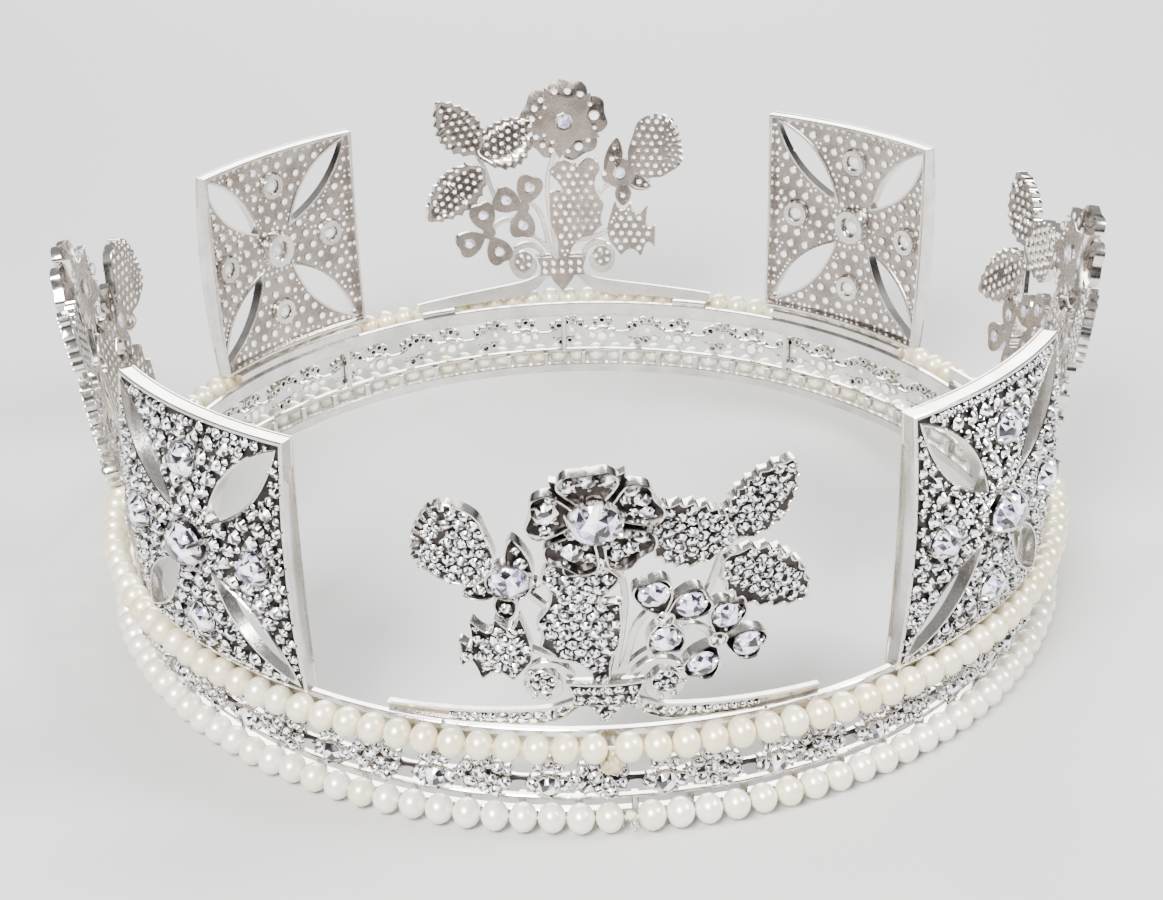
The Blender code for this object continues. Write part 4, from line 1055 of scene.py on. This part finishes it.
SCROLLS = (
    # points from the collar to the eye
    ((-0.102, 0.171), (-0.127, 0.208), (-0.173, 0.227), (-0.215, 0.210), (-0.237, 0.165), (-0.229, 0.117),
     (-0.194, 0.094), (-0.158, 0.110), (-0.150, 0.146), (-0.173, 0.170), (-0.192, 0.160)),
    ((0.088, 0.171), (0.112, 0.208), (0.158, 0.225), (0.204, 0.212), (0.233, 0.173), (0.235, 0.127),
     (0.210, 0.088), (0.173, 0.077), (0.143, 0.100), (0.140, 0.135), (0.162, 0.155), (0.183, 0.146)),
)
SCROLL_WIDTH, SCROLL_GROWTH, SCROLL_STATIONS, SCROLL_TOP = 0.0011, 2.0, 60, 0.0007
SCROLL_SET, SCROLL_STONE, SCROLL_STONE_LEVEL = slice(20, 40, 6), 0.00055, 0.0009
EYE_RADIUS, EYE_STONE, EYE_STONE_LEVEL = 0.0025, 0.00065, 0.0011
EYE_RING_COUNT, EYE_RING_RADIUS, EYE_RING_STONE, EYE_RING_LEVEL = 5, 0.00155, 0.00080, 0.0010
STEMS = (
    # points from the top down
    ((0.005, 0.700), (0.054, 0.530), (0.050, 0.365), (0.020, 0.150)),
    ((-0.225, 0.505), (-0.190, 0.470), (-0.160, 0.430)),
    ((-0.228, 0.286), (-0.150, 0.248), (-0.062, 0.229), (-0.012, 0.150)),
    ((0.368, 0.672), (0.338, 0.602), (0.306, 0.485), (0.268, 0.435)),
    ((0.175, 0.408), (0.128, 0.418), (0.086, 0.350), (0.062, 0.235), (0.026, 0.150)),
    ((0.172, 0.295), (0.095, 0.240), (0.024, 0.150)),
    ((0.200, 0.338), (0.265, 0.350), (0.337, 0.300)),
)
STEM_WIDTH, STEM_BACK, STEM_FRONT, STEM_STATIONS = 0.0011, -0.0005, 0.0006, 24
WHOLE = -SPRAY_HEIGHT
THISTLE_PLACE = (-0.433, 0.680)
THISTLE_EDGE = (
    # degrees, reach in millimetres
    (0, 6.1), (27, 5.9), (51, 7.0), (68, 7.6), (86, 8.0), (97, 8.1), (107, 7.9), (118, 7.6), (135, 6.8),
    (153, 6.4), (176, 6.3), (204, 7.1), (221, 7.1), (236, 6.9), (255, 7.3), (273, 7.5), (290, 8.1),
    (315, 7.6), (340, 6.8),
)
THISTLE_STATIONS = 300
THISTLE_TEETH, THISTLE_TOOTH, THISTLE_TOOTHED = 25, 0.0010, (80, 215)
THISTLE_PAVE = (
    # radius, pitch, margin, how far to the right of the middle they begin
    (0.00095, 0.00204, 0.0008, -0.0016),
    (0.00068, 0.00143, 0.0006, WHOLE),
    (0.00045, 0.00100, 0.0005, WHOLE),
)
ROSE_LEAVES = (
    # base u, base v, tip u, tip v, left reach, right reach, teeth, fullness, first toothed share
    (0.352, 0.680, 0.525, 0.935, 0.085, 0.105, 8, 0.85, 0.0),
    (0.372, 0.672, 0.110, 0.815, 0.150, 0.080, 8, 0.85, 0.0),
    (0.342, 0.608, 0.620, 0.392, 0.105, 0.100, 8, 0.85, 0.0),
)
ROSE_LEAF_STONE, ROSE_LEAF_PITCH, ROSE_LEAF_MARGIN = 0.00090, 0.00198, 0.00075
TOOTH_DEPTH, TOOTH_STATIONS, TOOTH_FADE = 0.00075, 8, 0.02
LEAF_ROUNDNESS, LEAF_SPINE = 0.7, (0.12, 0.88)
VEIN_ROOM, VEIN_REACH, VEIN_STATIONS = 0.00062, 0.8, 22
BIG_LEAF = ((-0.008, 0.145), (-0.060, 0.615), 0.230)
BIG_LEAF_EDGE = (
    # along, left: a point and the bay after it, all the way round
    (0.02, 0.12), (0.19, 0.23), (0.275, 0.56), (0.33, 0.62), (0.39, 0.74), (0.47, 0.68), (0.59, 0.73),
    (0.77, 0.49), (0.935, 0.57), (1.035, 0.44), (1.035, 0.25), (0.95, 0.20), (0.995, -0.16),
    (0.97, -0.30), (0.87, -0.45), (0.70, -0.14), (0.69, -0.39), (0.51, -0.37), (0.33, -0.31),
    (0.22, -0.18), (0.02, -0.10), (0.01, 0.01),
)
LOW_LEAF = ((-0.213, 0.292), (-0.423, 0.270), 0.250)
LOW_LEAF_EDGE = (
    # along, left: a point and the bay after it, all the way round
    (0.07, 0.20), (0.22, 0.34), (0.39, 0.50), (0.60, 0.34), (0.84, 0.48), (0.93, 0.17), (1.12, 0.26),
    (1.09, 0.04), (1.06, -0.20), (0.88, -0.12), (0.84, -0.54), (0.60, -0.32), (0.47, -0.56),
    (0.28, -0.36), (0.12, -0.56), (0.06, -0.31), (0.03, -0.14), (0.02, 0.02),
)
POINT_CUT, LOBE_STATIONS, LOBE_SPINE = 0.05, 9, (0.15, 0.88)
LEAF_PAVE = (
    # radius, pitch, margin, where they begin
    (0.00102, 0.00214, 0.0009, WHOLE),
    (0.00055, 0.00120, 0.0006, WHOLE),
)
CALYX_PLACE, CALYX_RADIUS, CALYX_TOP = (-0.275, 0.556), 0.0037, 0.0014
CALYX_STONE, CALYX_SEAT = 0.0060, 0.0012
CALYX_LEAF_FLOOR, CALYX_LEAF_TOP = 0.0004, 0.0011
CALYX_LEAF_STONES, CALYX_LEAF_LEVEL = (0.0010, 0.00065), 0.0008
CALYX_LEAVES = (
    # base u, base v, tip u, tip v, left reach, right reach, teeth, fullness, first toothed share,
    # stones' shares
    (-0.218, 0.530, -0.262, 0.722, 0.048, 0.034, 4, 0.9, 2.0, (0.48, 0.74)),
    (-0.300, 0.545, -0.418, 0.492, 0.042, 0.044, 4, 0.9, 2.0, (0.54, 0.80)),
    (-0.290, 0.510, -0.290, 0.400, 0.038, 0.038, 4, 0.9, 2.0, (0.55,)),
    (-0.245, 0.520, -0.195, 0.560, 0.030, 0.030, 4, 0.9, 2.0, (0.80,)),
)
TREFOIL_LEAF, TREFOIL_STONE, TREFOIL_SEAT = 0.0031, 0.0049, 0.0011
TREFOIL_EDGE = (
    # degrees, reach as a share of the leaf's radius
    (0, 0.88), (22, 1.02), (42, 1.14), (70, 1.08), (110, 0.97), (145, 1.05), (180, 1.40), (215, 1.05),
    (250, 0.97), (290, 1.08), (318, 1.14), (338, 1.02),
)
TREFOILS = (
    # centre, then each leaf's stone
    ((0.173, 0.404), (0.140, 0.498), (0.252, 0.446), (0.179, 0.319)),
    ((0.337, 0.298), (0.362, 0.385), (0.435, 0.258), (0.296, 0.202)),
)
TREFOIL_BOSS, TREFOIL_BOSS_FRONT, TREFOIL_BOSS_STONE, TREFOIL_BOSS_LEVEL = 0.0016, 0.0012, 0.0011, 0.0015
ROSE_PLACE, ROSE_RADIUS = (-0.027, 0.800), 0.0098
ROSE_STONE, ROSE_SEAT, ROSE_CUP_LEVEL = 0.0076, 0.0030, 0.0024
ROSE_TURN, SEPAL_FRONT, SEPAL_REACHES = 98, 0.0004, (0.94, 0.55)
PETAL_EDGE = (
    # turn as a share of half a petal, reach
    (-0.60, 0.28), (-0.92, 0.74), (-0.80, 0.92), (-0.45, 1.02), (0.00, 0.96), (0.45, 1.02),
    (0.80, 0.92), (0.92, 0.74), (0.60, 0.28),
)
PETAL_STATIONS, PETAL_MIDDLE, PETAL_LIFT = 56, 0.66, 0.0010
PETAL_FLOOR, PETAL_TOP, PETAL_BACK, PETAL_STONE_LEVEL = 0.0010, 0.0022, 0.0002, 0.0018
PETAL_STONES = (
    # sideways, outward and radius in millimetres, for each petal from the top one leftward
    ((-3.0, 0.3, 1.30), (0.0, 0.8, 1.35), (3.0, 0.3, 1.30)),
    ((0.0, 0.6, 2.00), (2.9, 0.2, 0.85), (-2.8, 0.2, 0.85)),
    ((0.0, 0.6, 1.70), (2.7, 0.3, 0.90), (-2.7, 0.3, 0.90)),
    ((-2.6, 0.6, 1.15), (-0.2, 1.1, 1.15), (2.3, 0.6, 1.15), (-1.4, -1.0, 0.80), (1.2, -1.0, 0.80)),
    ((-2.4, 0.5, 1.20), (0.1, 1.0, 1.30), (2.5, 0.5, 1.15), (-1.3, -1.1, 0.75), (1.3, -1.1, 0.75)),
)
VEIN_DEPTH, VEIN_SHARE = 0.0002, 0.15
LIP_HEIGHT, LIP_WIDTH, LIP_ROUND, BACK_CUT = 0.0004, 0.00042, 0.00008, 0.0001
BOWL_FLOOR, BOWL_TOP, BOWL_SHARE, BOWL_RISE = 0.0003, 0.0015, 0.72, 0.0002
BOWL_FOOT, BOWL_WALL, BOWL_CREST, BOWL_CUT = 0.00055, 0.00042, 0.00028, 0.0001
RIBBON_CUT = 0.00012


def smoothed(points, count, closed=False):
    """A smooth curve through points: each stretch is a cubic whose ends run along their neighbours."""
    points = np.asarray(points, float)
    total = len(points) if closed else len(points) - 1
    place = np.linspace(0, total, count, endpoint=not closed)
    first = np.minimum(place.astype(int), total - 1)
    share = (place - first)[:, None]
    if closed:
        before, start, end, after = (points[(first + step) % len(points)] for step in (-1, 0, 1, 2))
    else:
        padded = np.concatenate([2 * points[:1] - points[1:2], points, 2 * points[-1:] - points[-2:-1]])
        before, start, end, after = (padded[first + step] for step in (0, 1, 2, 3))
    return (
        start
        + share * (end - before) / 2
        + share**2 * (2 * before - 5 * start + 4 * end - after) / 2
        + share**3 * (3 * start - before - 3 * end + after) / 2
    )


def edged_plate(edge, spine, profile, lift=0.0):
    """A closed skin from a spine out to an edge and back again. Each point of the edge has its own on the
    spine. The profile gives the share of the way out, how far that is drawn in, the level w, to which a
    lift is added that grows with the share, and the material's place on the way to the next row."""
    spine = np.broadcast_to(spine, edge.shape)
    out = edge - spine
    reach = np.maximum(np.hypot(*out.T), 1e-9)
    rows = []
    for share, drawn_in, level, _ in profile:
        along = np.maximum(share - drawn_in / reach, 0)
        rows.append(np.column_stack([spine + out * along[:, None], level + lift * share**2 + 0 * reach]))
    faces = grid_faces(len(profile), len(edge), rows_close=True, columns_close=True)
    return np.concatenate(rows), faces, np.repeat([row[3] for row in profile], len(edge))


def plate_for_stones(front=SPRAY_FRONT, back=SPRAY_BACK):
    """The profile of a plate that holds small stones: a sunk vein and a face in the plating's painted shade,
    a thin raised lip and a plain side.
    """
    top = front + LIP_HEIGHT
    return (
        (0.00, 0.0, front - VEIN_DEPTH, PAINTED_SHADE),
        (VEIN_SHARE, 0.0, front, PAINTED_SHADE),
        (1.00, LIP_WIDTH + LIP_ROUND, front, BRIGHT),
        (1.00, LIP_WIDTH, top - LIP_ROUND, BRIGHT),
        (1.00, LIP_WIDTH - LIP_ROUND, top, BRIGHT),
        (1.00, LIP_ROUND, top, BRIGHT),
        (1.00, 0.0, top - LIP_ROUND, BRIGHT),
        (1.00, 0.0, back + BACK_CUT, BRIGHT),
        (1.00, BACK_CUT, back, BEHIND),
        (0.00, 0.0, back, BEHIND),
    )


def bowl(floor=BOWL_FLOOR, top=BOWL_TOP, back=SPRAY_BACK):
    """The profile of a leaf that holds one larger stone: a sunk floor in the plating's painted shade inside a
    high polished rim.
    """
    return (
        (0.00, 0.0, floor, PAINTED_SHADE),
        (BOWL_SHARE, 0.0, floor, PAINTED_SHADE),
        (1.00, BOWL_FOOT, floor + BOWL_RISE, BRIGHT),
        (1.00, BOWL_WALL, top - BOWL_CUT, BRIGHT),
        (1.00, BOWL_CREST, top, BRIGHT),
        (1.00, BOWL_CUT, top - BOWL_CUT, BRIGHT),
        (1.00, 0.0, floor, BRIGHT),
        (1.00, 0.0, back, BEHIND),
        (0.00, 0.0, back, BEHIND),
    )


def leaf_edge(row):
    """The edge of a leaf and its points on the axis. Its half width follows the sine of the share along it,
    raised to its fullness, with a row of pointed teeth."""
    base_u, base_v, tip_u, tip_v, left_reach, right_reach, teeth, fullness, toothed = row
    base, tip = np.array((base_u, base_v)) * SPRAY_HEIGHT, np.array((tip_u, tip_v)) * SPRAY_HEIGHT
    axis = tip - base
    left = np.array((-axis[1], axis[0])) / np.hypot(*axis)
    share = np.linspace(0.0, 1.0, TOOTH_STATIONS * teeth + 1)
    full = np.sin(np.pi * share**fullness) ** LEAF_ROUNDNESS * SPRAY_HEIGHT
    tooth = TOOTH_DEPTH * (0.5 - np.abs(np.sin(np.pi * teeth * share))) * (share > toothed)
    tooth = tooth * np.minimum(full / TOOTH_FADE, 1)
    outline, spine = [], []
    for reach, side, order in ((left_reach, 1, 1), (right_reach, -1, -1)):
        across = (full * reach + tooth)[::order]
        along = share[::order]
        outline.append((base + axis * along[:, None] + left * side * across[:, None])[:-1])
        spine.append((base + axis * np.clip(along, *LEAF_SPINE)[:, None])[:-1])
    return np.concatenate(outline), np.concatenate(spine)


def lobed_edge(leaf, rows):
    """The edge of a thistle leaf and its points on the axis, from the shares of its length and width. From
    one blunt point to the next runs an arc, a parabola through the bay between them."""
    base, tip, width = (np.array(share) * SPRAY_HEIGHT for share in leaf)
    axis = tip - base
    left = np.array((-axis[1], axis[0])) / np.hypot(*axis)
    along, across = np.array(rows).T
    corner = base + axis * along[:, None] + left * (across * width)[:, None]
    points, bays = corner[::2], corner[1::2]
    share = np.linspace(POINT_CUT, 1 - POINT_CUT, LOBE_STATIONS)[:, None]
    outline = []
    for here, bay, there in zip(points, bays, np.roll(points, -1, axis=0)):
        pull = 2 * bay - (here + there) / 2
        outline.append(here * (1 - share) ** 2 + pull * 2 * share * (1 - share) + there * share**2)
    outline = np.concatenate(outline)
    place = np.clip((outline - base) @ axis / (axis @ axis), *LOBE_SPINE)
    return outline, base + axis * place[:, None]


def round_edge(place, rows, unit, facing=0.0, count=48, smooth=True):
    """An edge from turns in degrees and reaches round a place."""
    turns, reach = np.radians(np.array(rows)[:, 0] + facing), np.array(rows)[:, 1] * unit
    edge = np.array(place) + np.column_stack([np.cos(turns) * reach, np.sin(turns) * reach])
    return smoothed(edge, count, closed=True) if smooth else edge


def disc_edge(place, radius, step=30):
    """A round edge through points so many degrees apart."""
    return round_edge(place, [(turn, 1.0) for turn in range(0, 360, step)], radius)


def ribbon(points, widths, low, high):
    """A closed bar of bevelled section along a path, with a width at each of its points."""
    run = np.gradient(points, axis=0)
    side = np.column_stack([-run[:, 1], run[:, 0]]) / np.hypot(*run.T)[:, None]
    half = np.broadcast_to(np.asarray(widths), len(points)) / 2
    section = bevelled(-half, half, low, high, RIBBON_CUT)
    flat = points[:, None] + side[:, None] * section[..., :1]
    return swept(np.concatenate([flat, section[..., 1:]], axis=2))


def pave_plate(casting, stones, edge, rows, place=0.0):
    """Paves a plate with one size of stone after another, each clear of those before it."""
    taken = []
    for radius, pitch, margin, start in rows:
        clear = [(u, v, size + radius) for u, v, size in taken]
        places = pave(edge, pitch, margin, clear=clear)
        places = places[places[:, 0] > place + start]
        set_stones(casting, stones, places, radius, LEAF_STONE_LEVEL, claws=3, back=SPRAY_BACK)
        taken += [(u, v, radius) for u, v in places]


def add_swag(casting, stones):
    """Two bars that sweep out from the collar, each with a trough and a row of stones that shrink outward."""
    out, low, high = smoothed(SWAG_ROWS, SWAG_STATIONS).T
    out = np.concatenate([-out[:0:-1], out]) * SWAG_LENGTH
    low, high = (np.concatenate([edge[:0:-1], edge]) * SPRAY_HEIGHT for edge in (low, high))
    under, over = low + SWAG_RIM, high - SWAG_RIM
    across = np.stack([low, low, under, under, over, over, high, high], axis=1)
    bars = np.stack(np.broadcast_arrays(out[:, None], across, SWAG_LEVELS + SWAG_LEVELS[::-1]), axis=2)
    casting.add(*swept(bars))
    steps, sizes = [SWAG_STONES[0][0]], []
    while steps[-1] < SWAG_STONES[-1][0]:
        sizes.append(np.interp(steps[-1], *np.array(SWAG_STONES).T))
        steps.append(steps[-1] + SWAG_STONE_STEP * sizes[-1] / SWAG_LENGTH)
    steps = np.array(steps[:-1])
    centre = np.interp(steps * SWAG_LENGTH, out, (low + high) / 2) - SWAG_STONE_DROP
    for side in (-1, 1):
        places = np.column_stack([side * steps * SWAG_LENGTH, centre])
        set_stones(casting, stones, places, np.array(sizes), SWAG_STONE_LEVEL, claws=2)


def add_collar(casting, stones):
    """A waisted plate with a bowed rib along its top and two rows of stones, and a finial under it."""
    edge = np.array(COLLAR_EDGE) * SPRAY_HEIGHT
    casting.add(*edged_plate(edge, edge.mean(axis=0), plate_for_stones(COLLAR_FRONT, COLLAR_BACK)))
    across = np.linspace(-1, 1, COLLAR_RIB_STATIONS)
    rise = COLLAR_RIB_UP + COLLAR_RIB_BOW * across**2
    rib = np.column_stack([across * COLLAR_RIB_HALF, rise]) * SPRAY_HEIGHT
    casting.add(*ribbon(rib, COLLAR_RIB_WIDTH, COLLAR_RIB_LOW, COLLAR_RIB_HIGH))
    grid = np.stack(np.meshgrid(np.linspace(*COLLAR_STONES_ACROSS), COLLAR_STONES_UP), axis=-1)
    places = grid.reshape(-1, 2) * SPRAY_HEIGHT
    set_stones(casting, stones, places, COLLAR_STONE, COLLAR_STONE_LEVEL, claws=4, back=SPRAY_BACK)
    edge = np.array(FINIAL_EDGE) * SPRAY_HEIGHT
    casting.add(*edged_plate(edge, np.array(FINIAL_MIDDLE) * SPRAY_HEIGHT, plate_for_stones()))
    places = np.array(FINIAL_STONES) * SPRAY_HEIGHT
    set_stones(casting, stones, places, FINIAL_STONE, LEAF_STONE_LEVEL, claws=3)


def add_scrolls(casting, stones):
    """Two bars that curl to a round eye with a flower of six stones."""
    for points in SCROLLS:
        path = smoothed(np.array(points) * SPRAY_HEIGHT, SCROLL_STATIONS)
        widths = SCROLL_WIDTH * np.linspace(1.0, SCROLL_GROWTH, SCROLL_STATIONS)
        casting.add(*ribbon(path, widths, SPRAY_BACK, SCROLL_TOP))
        set_stones(casting, stones, path[SCROLL_SET], SCROLL_STONE, SCROLL_STONE_LEVEL, claws=2)
        eye = path[-1]
        casting.add(*edged_plate(disc_edge(eye, EYE_RADIUS), eye, plate_for_stones()))
        turns = np.arange(EYE_RING_COUNT) * 2 * np.pi / EYE_RING_COUNT
        places = eye + np.column_stack([np.cos(turns), np.sin(turns)]) * EYE_RING_RADIUS
        set_stones(casting, stones, places, EYE_RING_STONE, EYE_RING_LEVEL, claws=3, back=SPRAY_BACK)
        set_stones(casting, stones, [eye], EYE_STONE, EYE_STONE_LEVEL, claws=3)


def add_thistle_head(casting, stones):
    """A bulb whose crown is cut into square teeth, set with stones of three sizes."""
    head = np.array(THISTLE_PLACE) * SPRAY_HEIGHT
    edge = round_edge(head, THISTLE_EDGE, 0.001, count=THISTLE_STATIONS)
    out = edge - head
    around = np.degrees(np.arctan2(out[:, 1], out[:, 0])) % 360
    toothed = (around > THISTLE_TOOTHED[0]) & (around < THISTLE_TOOTHED[1])
    tooth = np.where((around * THISTLE_TEETH / 360) % 1 < 0.5, 0.0, -THISTLE_TOOTH) * toothed
    edge = edge + out / np.hypot(*out.T)[:, None] * tooth[:, None]
    casting.add(*edged_plate(edge, head, plate_for_stones()))
    pave_plate(casting, stones, edge, THISTLE_PAVE, head[0])


def add_leaves(casting, stones):
    """The rose's three leaves, with a vein between their stones, and the thistle's two lobed ones."""
    for row in ROSE_LEAVES:
        edge, spine = leaf_edge(row)
        casting.add(*edged_plate(edge, spine, plate_for_stones()))
        base, tip = np.array(row[:2]), np.array(row[2:4])
        share = np.linspace(0.0, VEIN_REACH, VEIN_STATIONS)[:, None]
        vein = [(u, v, VEIN_ROOM) for u, v in (base * (1 - share) + tip * share) * SPRAY_HEIGHT]
        turn = math.atan2(*(tip - base)[::-1])
        places = pave(edge, ROSE_LEAF_PITCH, ROSE_LEAF_MARGIN, turn=turn, clear=vein)
        set_stones(casting, stones, places, ROSE_LEAF_STONE, LEAF_STONE_LEVEL, claws=3, back=SPRAY_BACK)
    for leaf, rows in ((BIG_LEAF, BIG_LEAF_EDGE), (LOW_LEAF, LOW_LEAF_EDGE)):
        edge, spine = lobed_edge(leaf, rows)
        casting.add(*edged_plate(edge, spine, plate_for_stones()))
        pave_plate(casting, stones, edge, LEAF_PAVE)


def add_calyx(casting, stones, gems):
    """The thistle's calyx: a round bowl with one larger stone, and four small leaves round it."""
    calyx = np.array(CALYX_PLACE) * SPRAY_HEIGHT
    casting.add(*edged_plate(disc_edge(calyx, CALYX_RADIUS), calyx, bowl(top=CALYX_TOP)))
    set_brilliant(casting, gems, calyx, CALYX_STONE / 2, CALYX_SEAT)
    open_back(casting, gems, calyx, CALYX_STONE, SPRAY_BACK)
    for *row, shares in CALYX_LEAVES:
        casting.add(*edged_plate(*leaf_edge(row), bowl(CALYX_LEAF_FLOOR, CALYX_LEAF_TOP)))
        for share, radius in zip(shares, CALYX_LEAF_STONES):
            place = (np.array(row[:2]) * (1 - share) + np.array(row[2:4]) * share) * SPRAY_HEIGHT
            set_stones(casting, stones, [place], radius, CALYX_LEAF_LEVEL, claws=3, back=SPRAY_BACK)


def add_shamrocks(casting, stones, gems):
    """Two shamrocks: three heart-shaped bowls with a larger stone each, round a boss with a small one."""
    for centre, *leaves in TREFOILS:
        centre = np.array(centre) * SPRAY_HEIGHT
        for leaf in np.array(leaves) * SPRAY_HEIGHT:
            facing = math.degrees(math.atan2(*(leaf - centre)[::-1]))
            casting.add(*edged_plate(round_edge(leaf, TREFOIL_EDGE, TREFOIL_LEAF, facing), leaf, bowl()))
            set_brilliant(casting, gems, leaf, TREFOIL_STONE / 2, TREFOIL_SEAT, claws=3)
            open_back(casting, gems, leaf, TREFOIL_STONE, SPRAY_BACK)
        boss = disc_edge(centre, TREFOIL_BOSS, step=45)
        casting.add(*edged_plate(boss, centre, plate_for_stones(TREFOIL_BOSS_FRONT)))
        set_stones(casting, stones, [centre], TREFOIL_BOSS_STONE, TREFOIL_BOSS_LEVEL, claws=5)


def add_rose(casting, stones, gems):
    """A star of pointed sepals, and five heart-shaped petals over it that rise outward."""
    sepals = [(ROSE_TURN + (point + 1) * 36, SEPAL_REACHES[point % 2]) for point in range(10)]
    edge = round_edge(rose, sepals, ROSE_RADIUS, smooth=False)
    casting.add(*edged_plate(edge, rose, plate_for_stones(SEPAL_FRONT)))
    for petal, petal_stones in enumerate(PETAL_STONES):
        facing = ROSE_TURN + petal * 72
        ahead = np.array((math.cos(math.radians(facing)), math.sin(math.radians(facing))))
        beside = np.array((-ahead[1], ahead[0]))
        rows = [(turn * 36, reach) for turn, reach in PETAL_EDGE]
        edge = round_edge(rose, rows, ROSE_RADIUS, facing, count=PETAL_STATIONS)
        heart = rose + ahead * ROSE_RADIUS * PETAL_MIDDLE
        lift = PETAL_LIFT * np.hypot(*(edge - rose).T) / ROSE_RADIUS
        casting.add(*edged_plate(edge, heart, bowl(PETAL_FLOOR, PETAL_TOP, PETAL_BACK), lift))
        for sideways, outward, radius in petal_stones:
            place = heart + (beside * sideways + ahead * outward) / 1000
            set_stones(casting, stones, [place], radius / 1000, PETAL_STONE_LEVEL, claws=4, back=SPRAY_BACK)
    casting.add(*repeated(*stone_cup(), np.array([(*rose, ROSE_CUP_LEVEL)]), ROSE_STONE / 2))
    open_back(casting, gems, rose, ROSE_STONE, SPRAY_BACK)


rose = np.array(ROSE_PLACE) * SPRAY_HEIGHT
for name, turn in SPRAY_TURNS.items():
    casting, stones, gems = Shape(), Shape(), Shape()
    add_swag(casting, stones)
    add_collar(casting, stones)
    add_scrolls(casting, stones)
    for points in STEMS:
        path = smoothed(np.array(points) * SPRAY_HEIGHT, STEM_STATIONS)
        casting.add(*ribbon(path, STEM_WIDTH, STEM_BACK, STEM_FRONT))
    add_thistle_head(casting, stones)
    add_leaves(casting, stones)
    add_calyx(casting, stones, gems)
    add_shamrocks(casting, stones, gems)
    add_rose(casting, stones, gems)
    single = Shape()
    set_brilliant(casting, single, rose, ROSE_STONE / 2, ROSE_SEAT, claws=8)
    for shape, piece, materials, slot, nodes in (
        (single, f"rose_{name}_stone", [lead_crystal], "cut_crystal", [f"spray_{name}_rose_stone"]),
        (casting, f"flowers_{name}_casting", PLATINGS, "plated_metal", [f"spray_{name}"]),
        (stones, f"flowers_{name}_small_stones", [clear_crystal], "cut_crystal", []),
        (gems, f"flowers_{name}_leaf_stones", [lead_crystal], "cut_crystal", []),
    ):
        shape.bend(SPRAY_RADIUS, SPRAY_LEVEL, SPRAY_LEAN)
        shape.piece(piece, materials, slot, nodes, turn)
